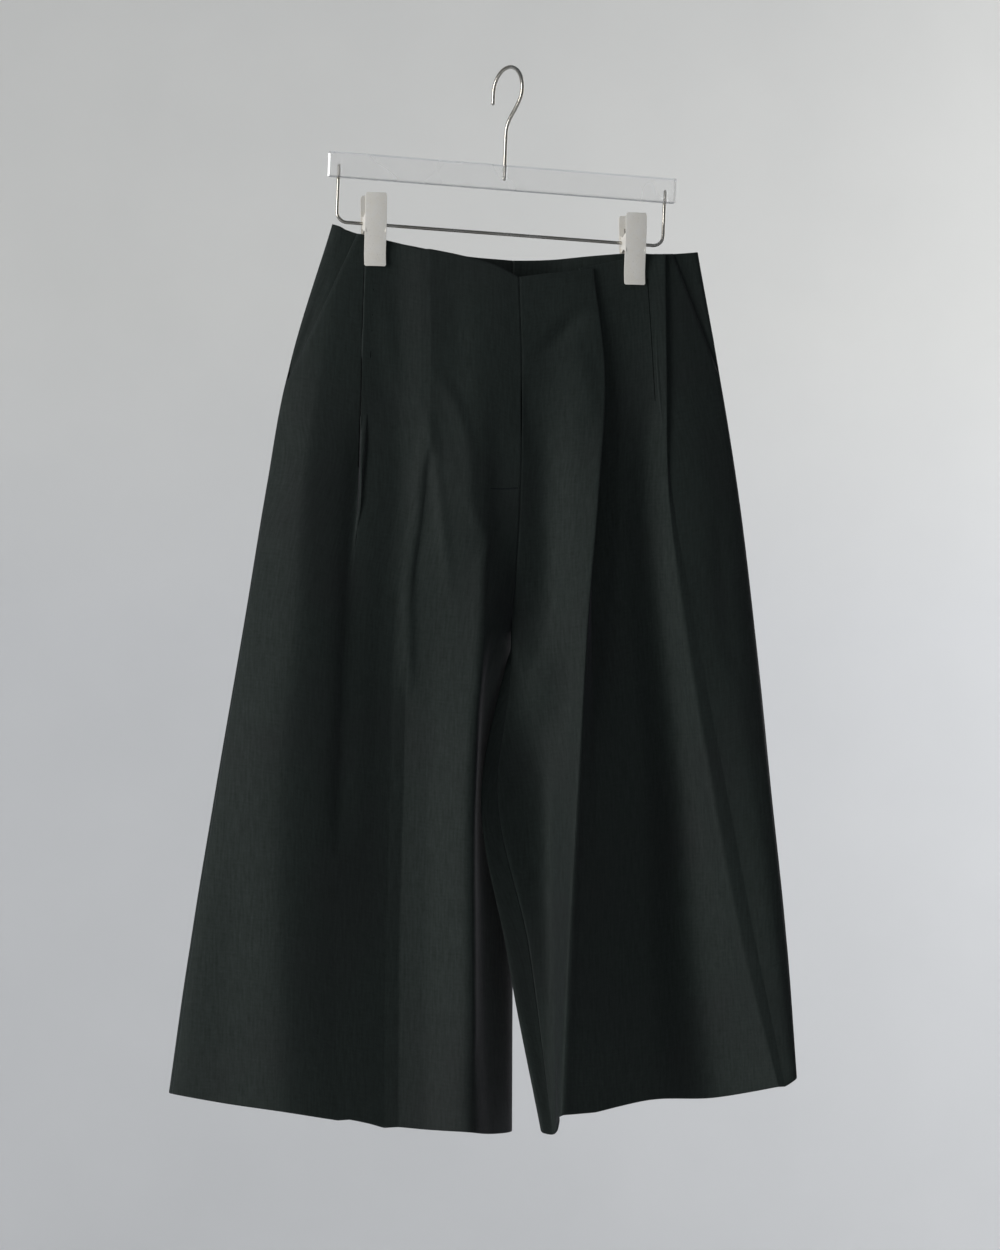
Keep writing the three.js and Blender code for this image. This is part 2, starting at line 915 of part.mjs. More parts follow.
// A round wire along a list of points, a bend of the given radius at each inner corner.
function roundedPath(corners, radius) {
  const path = new Path();
  let start = corners[0];
  for (let i = 1; i < corners.length - 1; i++) {
    const before = corners[i].clone().sub(corners[i - 1]).normalize();
    const after = corners[i + 1].clone().sub(corners[i]).normalize();
    const enter = corners[i].clone().addScaledVector(before, -radius);
    const leave = corners[i].clone().addScaledVector(after, radius);
    path.add(new THREE.LineCurve3(start, enter));
    path.add(new THREE.QuadraticBezierCurve3(enter, corners[i], leave));
    start = leave;
  }
  path.add(new THREE.LineCurve3(start, corners[corners.length - 1]));
  return path;
}

// A round wire through sampled points, as rings of its own.
function wire(samples, diameter, sides = 10) {
  const ring = (k) => {
    const before = samples[Math.max(0, k - 1)];
    const after = samples[Math.min(samples.length - 1, k + 1)];
    return after.clone().sub(before).normalize();
  };
  const vertices = [];
  const normal = new THREE.Vector3(0.13, 1, 0.07);
  samples.forEach((p, k) => {
    const t = ring(k);
    normal.addScaledVector(t, -normal.dot(t)).normalize();
    const side = t.clone().cross(normal);
    for (let s = 0; s < sides; s++) {
      const a = (2 * Math.PI * s) / sides;
      const v = p.clone();
      v.addScaledVector(normal, (Math.cos(a) * diameter) / 2);
      v.addScaledVector(side, (Math.sin(a) * diameter) / 2);
      vertices.push(v.x, v.y, v.z);
    }
  });
  const faces = [];
  const last = samples.length - 1;
  for (let k = 0; k < last; k++) {
    for (let s = 0; s < sides; s++) {
      const a = k * sides + s;
      const b = k * sides + ((s + 1) % sides);
      faces.push(a, b, b + sides, a, b + sides, a + sides);
    }
  }
  for (let s = 1; s < sides - 1; s++) {
    faces.push(0, s + 1, s);
    faces.push(last * sides, last * sides + s, last * sides + s + 1);
  }
  const geometry = new THREE.BufferGeometry();
  geometry.setAttribute("position", new THREE.Float32BufferAttribute(vertices, 3));
  geometry.setIndex(signedVolume(vertices, faces) < 0 ? faces.reverse() : faces);
  geometry.computeVertexNormals();
  return geometry;
}

// The hook in its own plane: h across, z up from the rail's top.
function hookSamples() {
  const samples = [];
  const along = new THREE.Vector3(Math.cos(hookYaw), Math.sin(hookYaw), 0);
  const put = (h, z) => samples.push(along.clone().multiplyScalar(h).setZ(z));
  const centre = -hookRadius + hookDiameter / 2;
  put(-hookRadius, centre - 9);
  put(-hookRadius, centre - 4);
  for (let a = 180; a >= -20; a -= 12.5) {
    const t = THREE.MathUtils.degToRad(a);
    put(Math.cos(t) * hookRadius, centre + Math.sin(t) * hookRadius);
  }
  const neck = [
    { h: 15.8, z: centre - 12.6 },
    { h: 11.4, z: centre - 18 },
    { h: 6.8, z: centre - 23 },
    { h: 3, z: centre - 28 },
    { h: 0.8, z: centre - 33 },
    { h: 0, z: centre - 39 },
  ];
  neck.forEach(({ h, z }) => put(h, z));
  put(0, barTop + 6);
  put(0, barTop - shankInBar);
  return samples;
}

function makeBar() {
  const section = roundedRectangle(barDepth, barHeight, barEdge);
  const body = toSolid(drawnOut(section, barLength).translate(0, 0, barTop - barHeight / 2));
  const foot = barTop - barHeight;
  const holes = [
    { x: 0, from: barTop - shankInBar - 0.5, to: barTop + 1, across: hookDiameter },
    { x: -wireHalfSpan, from: foot - 1, to: foot + wireInBar + 0.5, across: wireDiameter },
    { x: wireHalfSpan, from: foot - 1, to: foot + wireInBar + 0.5, across: wireDiameter },
  ];
  return holes.reduce(
    (solid, { x, from, to, across }) =>
      solid.subtract(toSolid(uprightRod(across + 2 * lapGap, x, from, to))),
    body,
  );
}

function lowerWire() {
  const top = barTop - barHeight + wireInBar;
  const corners = [
    new THREE.Vector3(-wireHalfSpan, 0, top),
    new THREE.Vector3(-wireHalfSpan, 0, wireDrop),
    new THREE.Vector3(wireHalfSpan, 0, wireDrop),
    new THREE.Vector3(wireHalfSpan, 0, top),
  ];
  const path = roundedPath(corners, wireBend);
  const samples = path.curves.flatMap((curve) => {
    const count = curve.isLineCurve3 ? 1 : 5;
    return curve.getPoints(count).slice(0, count);
  });
  samples.push(corners[3]);
  return wire(samples, wireDiameter, 10);
}

// A plate's profile from the side: y outwards from the garment's plane, z from the wire.
const frontPlateLine = [
  { y: -14, z: clipAbove },
  { y: -13.2, z: 12 },
  { y: -11.6, z: 0 },
  { y: -9.2, z: -14 },
  { y: -7.8, z: -26 },
  { y: -8.2, z: -clipBelow },
];
const backPlateLine = [
  { y: 10, z: clipAbove },
  { y: 9.6, z: 12 },
  { y: 8.6, z: 0 },
  { y: 6.9, z: -14 },
  { y: 6.2, z: -26 },
  { y: 6.6, z: -clipBelow },
];

// The turned lip at the foot of a front plate, and the ears that fold in to the wire.
const plateLip = [
  { y: -8.9, z: -clipBelow - 3 },
  { y: -7.6, z: -clipBelow - 3 },
];
const ear = { thickness: 1, rootHeight: 7, tipHeight: 3.6, reach: 3.4, sunk: 0.4 };

const outlineShape = (points) => new THREE.Shape(points.map(({ y, z }) => new THREE.Vector2(y, z)));

function plateSolid(line, outward, earInset) {
  const outer = line.map(({ y, z }) => ({ y: y + outward * clipPlate, z }));
  const inner = [...line].reverse();
  const lip = outward < 0 ? plateLip : [];
  const root = line[2].y - outward * ear.sunk;
  const tip = -outward * ear.reach;
  const earOutline = [
    { y: root, z: ear.rootHeight },
    { y: tip, z: ear.tipHeight },
    { y: tip, z: -ear.tipHeight },
    { y: root, z: -ear.rootHeight },
  ];
  let solid = toSolid(drawnOut(outlineShape([...outer, ...lip, ...inner]), clipWidth));
  for (const side of [-1, 1]) {
    const place = side * (clipWidth / 2 - earInset);
    solid = solid.add(toSolid(drawnOut(outlineShape(earOutline), ear.thickness).translate(place, 0, 0)));
  }
  return solid.subtract(toSolid(crossRod(wireDiameter + 1.8, clipWidth + 2, 16)));
}

function springSolid() {
  const ring = toSolid(crossRod(springDiameter, clipWidth - 7, 20));
  return ring.subtract(toSolid(crossRod(wireDiameter + 1, clipWidth, 16)));
}

// ---------------------------------------------------------------- assembly
const culottes = new THREE.Group();
const finish = {
  cloth: { color: 0x2a2c2e, roughness: 0.9 },
  facing: { color: 0x232527, roughness: 0.9 },
  steel: { color: 0xc9c6bd, roughness: 0.35, metalness: 1 },
  acrylic: { color: 0xe6e8ea, roughness: 0.5, transparent: true, opacity: 0.6 },
};

function add(name, geometry, look, place) {
  const mesh = new THREE.Mesh(geometry, new THREE.MeshStandardMaterial(finish[look]));
  mesh.name = name;
  if (place) mesh.applyMatrix4(place);
  culottes.add(mesh);
}

const garmentPlace = new THREE.Matrix4().makeTranslation(garmentX, 0, 0);
add("front_right", frontPanel(right), "cloth", garmentPlace);
add("front_left", frontPanel(left), "cloth", garmentPlace);
add("back_right", backPanel(right), "cloth", garmentPlace);
add("back_left", backPanel(left), "cloth", garmentPlace);
add("pocket_bearer_right", pocketBearer(right), "cloth", garmentPlace);
add("pocket_bearer_left", pocketBearer(left), "cloth", garmentPlace);
add("waist_facing_back", backFacing(), "facing", garmentPlace);

const hangerPlace = new THREE.Matrix4().makeRotationY(hangerTilt);
add("hook", wire(hookSamples(), hookDiameter, 10), "steel", hangerPlace);
add("bar", toGeometry(makeBar()), "acrylic", hangerPlace);
add("lower_wire", lowerWire(), "steel", hangerPlace);

const clips = [
  { name: "right", x: -121 },
  { name: "left", x: 112.6 },
];
for (const { name, x } of clips) {
  const z = wireDrop / Math.cos(hangerTilt) - x * Math.tan(hangerTilt);
  const place = new THREE.Matrix4().makeTranslation(x, 0, z);
  add(`clip_${name}_front`, toGeometry(plateSolid(frontPlateLine, -1, 0.5)), "steel", place);
  add(`clip_${name}_back`, toGeometry(plateSolid(backPlateLine, 1, 1.9)), "steel", place);
  add(`clip_${name}_spring`, toGeometry(springSolid()), "steel", place);
}

export default culottes;
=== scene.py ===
import math

import bpy
import numpy as np
from mathutils import Matrix, Vector


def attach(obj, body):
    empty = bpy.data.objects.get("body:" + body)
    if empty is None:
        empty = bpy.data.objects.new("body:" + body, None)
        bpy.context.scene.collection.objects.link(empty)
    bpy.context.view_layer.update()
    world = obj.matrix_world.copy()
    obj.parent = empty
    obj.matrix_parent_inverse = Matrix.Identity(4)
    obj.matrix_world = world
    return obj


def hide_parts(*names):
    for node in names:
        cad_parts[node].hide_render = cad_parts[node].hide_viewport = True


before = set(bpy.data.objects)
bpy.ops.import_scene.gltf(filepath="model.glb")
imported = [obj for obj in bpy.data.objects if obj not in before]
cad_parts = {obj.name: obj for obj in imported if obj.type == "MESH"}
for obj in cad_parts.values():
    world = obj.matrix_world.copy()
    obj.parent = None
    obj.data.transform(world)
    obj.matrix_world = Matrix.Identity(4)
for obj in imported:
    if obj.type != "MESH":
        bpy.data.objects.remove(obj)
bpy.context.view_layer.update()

# Culottes that hang by the waist from a clip hanger. Sizes are in millimetres, and metre turns
# them into the scene's metres. The origin is where the hook rests on its rail, +Z is up and the
# front faces -Y. Right and left are the wearer's, so the right half lies at -X.
metre = 0.001
garmentX = 3  # the garment's own centre line stands this far left of the hook


# The linear colour of an sRGB hex code.
def srgb(code, alpha=1.0):
    channels = [int(code[i : i + 2], 16) / 255 for i in (1, 3, 5)]
    linear = [c / 12.92 if c <= 0.04045 else ((c + 0.055) / 1.055) ** 2.4 for c in channels]
    return (*linear, alpha)


# Adds a node and gives one of its outputs. A name that the node has as a setting is set. Any
# other is a socket, by its name or as _ and its number, which is linked or given the value.
def nodeAdder(tree):
    def add(kind, out=0, **values):
        node = tree.nodes.new("ShaderNode" + kind)
        for key, value in values.items():
            if hasattr(node, key):
                setattr(node, key, value)
                continue
            socket = node.inputs[int(key[1:]) if key[1:].isdigit() else key.replace("_", " ")]
            if isinstance(value, bpy.types.NodeSocket):
                tree.links.new(value, socket)
            else:
                socket.default_value = value
        return node.outputs[out] if node.outputs else None

    return add


# A new material without nodes, and the function that adds them.
def startMaterial(name):
    material = bpy.data.materials.new(name)
    material.use_nodes = True
    material.node_tree.nodes.clear()
    return material, nodeAdder(material.node_tree)


# Worsted twill, woven from dyed yarn and pressed. It is matt and almost black with a green
# cast, its rib shows only close up, its yarns are uneven, and it has a faint sheen at a slant.
twillLook = {
    "dark": "#0f1a15",
    "light": "#212b28",
    "brown": "#1b1c1d",
    "ribGap": 0.62,  # drawn a little coarser than the real 0.5, which would not show
    "yarnGap": 0.496,
    "ribSlant": 0.5,  # how far the rib climbs for each millimetre across
    "ribDepth": 0.10,
    "slubDepth": 0.22,
    "warpSlub": (0.55, 0.05, 1.0),  # waves to a millimetre, across and along the cut
    "weftSlub": (0.06, 0.6, 1.0),
    "nap": 0.35,  # waves to a millimetre
    "clouds": 9.0,  # waves to a metre
    "rough": (0.62, 0.78),
    "shine": 0.34,
    "sheen": 0.17,
    "sheenRoughness": 0.45,
    "sheenTint": "#b09cb4",
}


def makeTwill(name, look):
    material, add = startMaterial(name)
    cut = add("UVMap", uv_map="cut")
    place = add("TexCoord", "Object")
    across = add("SeparateXYZ", 0, Vector=cut)
    along = add("SeparateXYZ", 1, Vector=cut)

    # the rib is a sine on the slant, and the yarn a closer one across the cut
    slant = add("Math", operation="MULTIPLY_ADD", _0=across, _1=look["ribSlant"], _2=along)
    ribTurn = add("Math", operation="MULTIPLY", _0=slant, _1=2 * math.pi / look["ribGap"])
    rib = add("Math", operation="SINE", _0=ribTurn)
    yarnTurn = add("Math", operation="MULTIPLY", _0=across, _1=2 * math.pi / look["yarnGap"])
    yarn = add("Math", operation="SINE", _0=yarnTurn)

    # slubs run long one way and short the other, with a fine nap over them
    warpWay = add("Mapping", Vector=cut, Scale=look["warpSlub"])
    warp = add("TexNoise", Vector=warpWay, Scale=1.0, Detail=4.0, Roughness=0.6)
    weftWay = add("Mapping", Vector=cut, Scale=look["weftSlub"])
    weft = add("TexNoise", Vector=weftWay, Scale=1.0, Detail=3.0, Roughness=0.6)
    nap = add("TexNoise", Vector=cut, Scale=look["nap"], Detail=5.0, Roughness=0.7)
    clouds = add("TexNoise", Vector=place, Scale=look["clouds"], Detail=3.0, Roughness=0.55)
    grain = height = 0.0
    for layer, weight in ((warp, 0.5), (weft, 0.2), (nap, 0.3)):
        grain = add("Math", operation="MULTIPLY_ADD", _0=layer, _1=weight, _2=grain)
    rise = look["ribDepth"]
    for layer, weight in ((rib, 0.6 * rise), (yarn, 0.4 * rise), (grain, look["slubDepth"])):
        height = add("Math", operation="MULTIPLY_ADD", _0=layer, _1=weight, _2=height)

    shade = add("MapRange", Value=grain, From_Min=0.34, From_Max=0.66)
    faded = add("MapRange", Value=clouds, From_Min=0.45, From_Max=0.8, To_Max=0.5)
    low, high = look["rough"]
    rough = add("MapRange", Value=grain, From_Min=0.3, From_Max=0.7, To_Min=high, To_Max=low)
    base = add("Mix", 2, data_type="RGBA", _0=shade, _6=srgb(look["dark"]), _7=srgb(look["light"]))
    base = add("Mix", 2, data_type="RGBA", _0=faded, _6=base, _7=srgb(look["brown"]))
    shader = add(
        "BsdfPrincipled",
        Base_Color=base,
        Roughness=rough,
        Normal=add("Bump", Height=height, Strength=0.6, Distance=metre),
        Specular_IOR_Level=look["shine"],
        Sheen_Weight=look["sheen"],
        Sheen_Roughness=look["sheenRoughness"],
        Sheen_Tint=srgb(look["sheenTint"]),
    )
    add("OutputMaterial", Surface=shader)
    return material


# Drawn steel wire, nickel plated: bright and slightly warm, with faint draw marks and a few
# dull specks where the plate has worn.
wireLook = {"colour": "#b9b3a8", "rough": (0.17, 0.3), "metal": 1.0,
            "streaks": 30.0, "specks": 700.0}
# Pressed steel in matt nickel under a clear lacquer: pale and soft, as the lacquer scatters
# most of the light and little of the metal's own reflection is left.
clipLook = {"colour": "#fdf8ee", "rough": (0.4, 0.53), "metal": 0.1,
            "streaks": 160.0, "specks": 1200.0}


# Streaks and specks are waves to a metre.
def makeMetal(name, look):
    material, add = startMaterial(name)
    place = add("TexCoord", "Object")
    spread = add("Mapping", Vector=place, Scale=(look["streaks"],) * 3)
    streak = add("TexNoise", Vector=spread, Scale=1.0, Detail=4.0, Roughness=0.6)
    speck = add("TexNoise", Vector=place, Scale=look["specks"], Detail=2.0)
    pale = add("MapRange", Value=streak, From_Min=0.3, From_Max=0.7, To_Max=0.35)
    dull = add("MapRange", Value=speck, From_Min=0.62, From_Max=0.75, To_Max=0.25)
    base = add("Mix", 2, data_type="RGBA", _0=pale, _6=srgb(look["colour"]), _7=srgb("#ffffff"))
    base = add("Mix", 2, data_type="RGBA", _0=dull, _6=base, _7=srgb("#6f6659"))
    low, high = look["rough"]
    rough = add("MapRange", Value=streak, From_Min=0.3, From_Max=0.7, To_Min=low, To_Max=high)
    bump = add("Bump", Height=streak, Strength=0.25, Distance=0.05 * metre)
    shader = add(
        "BsdfPrincipled", Base_Color=base, Roughness=rough, Metallic=look["metal"], Normal=bump
    )
    add("OutputMaterial", Surface=shader)
    return material


# Acrylic, extruded clear and lightly frosted: it lets the wall through, with soft edges.
barLook = {"colour": "#ffffff", "clear": 0.92, "bend": 1.3, "shine": 0.35, "rough": (0.2, 0.32)}


def makeAcrylic(name, look):
    material, add = startMaterial(name)
    place = add("TexCoord", "Object")
    frost = add("TexNoise", Vector=place, Scale=900.0, Detail=3.0)
    haze = add("TexNoise", Vector=place, Scale=14.0, Detail=2.0)
    low, high = look["rough"]
    rough = add("MapRange", Value=haze, From_Min=0.35, From_Max=0.65, To_Min=low, To_Max=high)
    shader = add(
        "BsdfPrincipled",
        Base_Color=srgb(look["colour"]),
        Roughness=rough,
        Normal=add("Bump", Height=frost, Strength=0.25, Distance=0.05 * metre),
        IOR=look["bend"],
        Transmission_Weight=look["clear"],
        Specular_IOR_Level=look["shine"],
    )
    add("OutputMaterial", Surface=shader)
    return material


# Spun polyester sewing thread: matt, with a fine twist that breaks up its colour. The seams'
# thread is black. The bar tack is the same black thread painted lighter: a painted highlight
# for the light that its close stitches catch.
threadLook = {"seam": ("#030404", "#0b0d0e"), "paintedHighlightTack": ("#15191b", "#24292b"), "twist": 2600.0}


def makeThread(name, colours):
    material, add = startMaterial(name)
    twist = add("TexNoise", Vector=add("TexCoord", "Object"), Scale=threadLook["twist"], Detail=2.0)
    shade = add("MapRange", Value=twist, From_Min=0.3, From_Max=0.7)
    low, high = map(srgb, colours)
    shader = add(
        "BsdfPrincipled",
        Base_Color=add("Mix", 2, data_type="RGBA", _0=shade, _6=low, _7=high),
        Roughness=0.8,
        Normal=add("Bump", Height=twist, Strength=0.4, Distance=0.1 * metre),
        Specular_IOR_Level=0.1,
    )
    add("OutputMaterial", Surface=shader)
    return material


# Emulsion paint, rolled on plaster: matt and a little mottled. Its colour goes from low at the
# height bottom to high at top, in metres: on the wall this is painted shade, darker lower down,
# standing in for how the light falls on it. The floor's two colours are the same.
wallLook = {"low": "#d8d9db", "high": "#e1e1df", "bottom": -0.5, "top": 0.2}
floorLook = {"low": "#dfe1e3", "high": "#dfe1e3", "bottom": -2.0, "top": 0.0}


def makePaint(name, look):
    material, add = startMaterial(name)
    place = add("TexCoord", "Object")
    up = add("SeparateXYZ", 2, Vector=place)
    level = add("MapRange", Value=up, From_Min=look["bottom"], From_Max=look["top"])
    mottle = add("TexNoise", Vector=place, Scale=3.0, Detail=4.0)
    dirt = add("MapRange", Value=mottle, From_Min=0.3, From_Max=0.7, To_Max=0.06)
    # painted shade: the wall's colour goes darker towards its bottom, standing in for how the light
    # falls
    base = add("Mix", 2, data_type="RGBA", _0=level, _6=srgb(look["low"]), _7=srgb(look["high"]))
    base = add("Mix", 2, data_type="RGBA", _0=dirt, _6=base, _7=srgb("#8e9498"))
    roller = add("TexNoise", Vector=place, Scale=160.0, Detail=4.0)
    bump = add("Bump", Height=roller, Strength=0.1, Distance=0.4 * metre)
    shader = add("BsdfPrincipled", Base_Color=base, Roughness=0.95, Normal=bump)
    add("OutputMaterial", Surface=shader)
    return material


twill = makeTwill("twill", twillLook)
seamThread = makeThread("seamThread", threadLook["seam"])
# the bar tack's thread colours are lighter than the seams': a painted highlight
paintedHighlightTackThread = makeThread("paintedHighlightTackThread", threadLook["paintedHighlightTack"])
steel = makeMetal("steelWire", wireLook)
nickel = makeMetal("mattNickel", clipLook)
acrylic = makeAcrylic("frostedAcrylic", barLook)
print("materials made")


def lengths(v):
    return np.sqrt((v * v).sum(-1))


def unit(v):
    return v / np.maximum(lengths(v), 1e-9)[..., None]


# A piece from its points in metres and its faces.
def meshObject(name, vertices, faces, material, smooth=True):
    mesh = bpy.data.meshes.new(name)
    faces = faces.tolist() if isinstance(faces, np.ndarray) else faces
    mesh.from_pydata(np.asarray(vertices).reshape(-1, 3).tolist(), [], faces)
    mesh.polygons.foreach_set("use_smooth", [smooth] * len(mesh.polygons))
    piece = bpy.data.objects.new(name, mesh)
    bpy.context.scene.collection.objects.link(piece)
    mesh.materials.append(material)
    return piece


# The four-sided faces between the points of a grid, going round if it is closed.
def quads(rows, cols, closed=False):
    r, c = np.meshgrid(np.arange(rows - 1), np.arange(cols if closed else cols - 1), indexing="ij")
    d = (c + 1) % cols
    corners = [r * cols + c, (r + 1) * cols + c, (r + 1) * cols + d, r * cols + d]
    return np.stack(corners, -1).reshape(-1, 4)


# A plate or a cloth gets its thickness evenly on both sides of its surface.
def thicken(piece, thickness):
    wall = piece.modifiers.new("wall", "SOLIDIFY")
    wall.thickness = thickness * metre
    wall.offset = 0


# A sheet of cloth from a grid of points. Its UVs are the cloth's own millimetres: the lengths
# added up along each row from the middle column, and down each column from the top.
def clothObject(name, grid, sign, thickness):
    grid = grid + [garmentX, 0, 0]
    rows, cols = grid.shape[:2]
    faces = quads(rows, cols)[:, ::sign]
    piece = meshObject(name, grid * metre, faces, twill)
    across = np.concatenate([np.zeros((rows, 1)), lengths(np.diff(grid, axis=1)).cumsum(1)], 1)
    down = np.concatenate([np.zeros((1, cols)), lengths(np.diff(grid, axis=0)).cumsum(0)], 0)
    middle = across[:, cols // 2][:, None]
    cut = np.stack([across - middle, -down], -1).reshape(-1, 2)
    layer = piece.data.uv_layers.new(name="cut")
    loops = np.empty(len(piece.data.loops), int)
    piece.data.loops.foreach_get("vertex_index", loops)
    layer.data.foreach_set("uv", cut[loops].ravel())
    thicken(piece, thickness)
    facing = piece.modifiers.new("facing", "WEIGHTED_NORMAL")
    facing.weight = 100
    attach(piece, "root")
    return piece


# A round wire: a circle carried along a path, turned no more than the path turns, with both
# ends closed by a dome whose rings shrink as the cosine of their angle.
def tubeObject(name, path, radius, material, sides=20):
    path = np.asarray(path, float)
    along = unit(np.gradient(path, axis=0))
    dome = [math.radians(a) for a in (0, 30, 60, 80)]
    rings = [(path[0] - along[0] * radius * math.sin(a), along[0], math.cos(a)) for a in dome[::-1]]
    rings += [(point, tangent, 1) for point, tangent in zip(path[1:-1], along[1:-1])]
    rings += [(path[-1] + along[-1] * radius * math.sin(a), along[-1], math.cos(a)) for a in dome]
    normal = np.array([0.13, 1.0, 0.07])
    turn = np.linspace(0, 2 * math.pi, sides, endpoint=False)[:, None]
    vertices = []
    for centre, tangent, size in rings:
        normal = unit(normal - tangent * (normal @ tangent))
        side = np.cross(tangent, normal)
        vertices.append(centre + radius * size * (np.cos(turn) * normal + np.sin(turn) * side))
    ends = [np.arange(sides)[::-1], np.arange((len(rings) - 1) * sides, len(rings) * sides)]
    faces = [*quads(len(rings), sides, closed=True), *ends]
    faces = [face[::-1].tolist() for face in faces]
    piece = meshObject(name, np.concatenate(vertices) * metre, faces, material)
    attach(piece, "root")
    return piece


# A Catmull-Rom curve: a cubic between each two points whose slope at a point is half the step
# from the point before it to the one after it.
def smoothPath(points, steps):
    points = np.asarray(points, float)
    padded = np.vstack([2 * points[0] - points[1], points, 2 * points[-1] - points[-2]])
    t = (np.arange(steps) / steps)[:, None]
    out = []
    for i in range(1, len(padded) - 2):
        a, b, c, d = padded[i - 1 : i + 3]
        cubic = c - a + t * (2 * a - 5 * b + 4 * c - d + t * (3 * (b - c) + d - a))
        out.append(b + 0.5 * t * cubic)
    return np.vstack([*out, points[-1]])


view = {
    "distance": 2600,  # from the garment's centre line
    "turn": math.radians(13),  # round towards the wearer's right
    "shift": 7.64,  # how far the hook stands right of the view's middle
    "height": -488.84,
    "angle": math.radians(23.88),  # across the view
}


def makeCamera(view):
    data = bpy.data.cameras.new("camera")
    camera = bpy.data.objects.new("camera", data)
    bpy.context.scene.collection.objects.link(camera)
    ahead = Vector((math.sin(view["turn"]), math.cos(view["turn"]), 0))
    right = Vector((math.cos(view["turn"]), -math.sin(view["turn"]), 0))
    base = Vector((garmentX, 0, view["height"])) - ahead * view["distance"]
    shift = -view["shift"] - right.x * garmentX
    camera.location = (base + right * shift) * metre
    camera.rotation_euler = (math.radians(90), 0, -view["turn"])
    data.sensor_width = 36
    data.lens = data.sensor_width / 2 / math.tan(view["angle"] / 2)
    data.clip_end = 50
    bpy.context.scene.camera = camera


# The room and its lights are in metres. The wall stands further off than any view does, so
# that it never hides the back.
room = {"half": 9.0, "wall": 3.8, "floor": -2.5, "top": 4.0, "front": -8.0, "points": 13}


def makeStage(room):
    count = room["points"]
    columns = np.linspace(-room["half"], room["half"], count)
    x, z = np.meshgrid(columns, np.linspace(room["floor"], room["top"], count))
    wall = np.stack([x, np.full_like(x, room["wall"]), z], -1)
    x, y = np.meshgrid(columns, np.linspace(room["front"], room["wall"], count))
    ground = np.stack([x, y, np.full_like(x, room["floor"])], -1)
    faces = quads(count, count)
    backdrop = meshObject("backdrop", wall, faces, makePaint("paleWall", wallLook))
    meshObject("floor", ground, faces, makePaint("paleFloor", floorLook))
    lit = bpy.data.collections.new("backdropOnly")
    lit.objects.link(backdrop)
    return lit


# A soft light from a rectangle. wallOnly lights the backdrop and nothing else.
lights = {
    "window": {"power": 92, "size": (1.4, 2.6), "place": (-3.2, -1.6, 0.0),
               "aim": (0.0, 0.0, -0.5)},
    "wallWash": {"power": 59, "size": (2.35, 3.0), "place": (3.74, 1.71, -0.68),
                 "aim": (1.73, 3.8, -0.51), "wallOnly": True},
    "wallFill": {"power": 129, "size": (2.35, 4.35), "place": (-4.97, -0.97, 0.33),
                 "aim": (0.4, 1.7, -0.5), "wallOnly": True},
    "backFill": {"power": 40, "size": (2.0, 2.6), "place": (3.6, 2.8, 0.6),
                 "aim": (0.0, 0.0, -0.5)},
}


def makeLight(name, light, backdropOnly):
    data = bpy.data.lights.new(name, "AREA")
    data.shape = "RECTANGLE"
    data.size, data.size_y = light["size"]
    data.energy = light["power"]
    lamp = bpy.data.objects.new(name, data)
    lamp.location = light["place"]
    aim = Vector(light["aim"]) - Vector(light["place"])
    lamp.rotation_euler = aim.to_track_quat("-Z", "Y").to_euler()
    if "wallOnly" in light:
        lamp.light_linking.receiver_collection = backdropOnly
    bpy.context.scene.collection.objects.link(lamp)


# The air of the room: pale at eye level, cooler above and darker below.
airLook = {"level": 0.27, "below": "#5b4f45", "middle": "#d5d8da", "above": "#a9b0b6", "reach": 0.7}


def makeAir(look):
    world = bpy.data.worlds.new("studio")
    bpy.context.scene.world = world
    world.use_nodes = True
    world.node_tree.nodes.clear()
    add = nodeAdder(world.node_tree)
    up = add("SeparateXYZ", 2, Vector=add("TexCoord", "Generated"))
    share = add("MapRange", Value=up, From_Min=-look["reach"], From_Max=look["reach"])
    colour = add("ValToRGB", _0=share)
    ramp = colour.node.color_ramp
    ramp.elements[0].color = srgb(look["below"])
    ramp.elements[1].color = srgb(look["above"])
    ramp.elements.new(0.5).color = srgb(look["middle"])
    add("OutputWorld", Surface=add("Background", Color=colour, Strength=look["level"]))


makeCamera(view)
backdropOnly = makeStage(room)
makeAir(airLook)
for name, light in lights.items():
    makeLight(name, light, backdropOnly)
bpy.context.scene.view_settings.view_transform = "Standard"
print("stage set")


# The heights at which a fold's row may give its place.
levels = {"waist": -165, "tuckEnd": -270, "flyEnd": -369, "rise": -430, "crotch": -480,
          "split": -530, "thigh": -636, "knee": -765, "hem": -905}
columns = ("waist", "tuckEnd", "flyEnd", "crotch", "thigh", "knee", "hem")


# A fold's row: its mesh steps to the next row, the height of its edge at the waist (top), then
# its [x, y] in the columns above, from the first. Other heights and its edge at the hem (foot)
# are named. A tuck's row gives [x, y, under, drop]: the fold edge, how far the cloth runs back
# under it (negative once it has opened), and the depth from its top layer to its last.
def foldRow(cuts, top, *places, **named):
    return {"cuts": cuts, "top": top, **dict(zip(columns, places)), **named}


# Where the inseam runs, shared by the front and the back of a leg.
inseamRight = {"split": [1, 7], "thigh": [4, 11], "knee": [3, 11], "hem": [1, 6], "foot": -934}
inseamLeft = {"split": [-4, -12], "thigh": [-19, -25], "knee": [8, -27], "hem": [28, -36],
              "foot": -931}

sideRight = foldRow(3, -141, [-160, 1], [-198, 3], [-217, 1], [-236.2, -9], [-263, -11],
                    [-283.2, -10], [-300.3, -6], foot=-888.5)
sideLeft = foldRow(3, -156, [170.5, 1], [191.5, 0], [207, -3], [219, -10], [228, -32],
                   [237.5, -46], [245.3, -53], foot=-887.5)

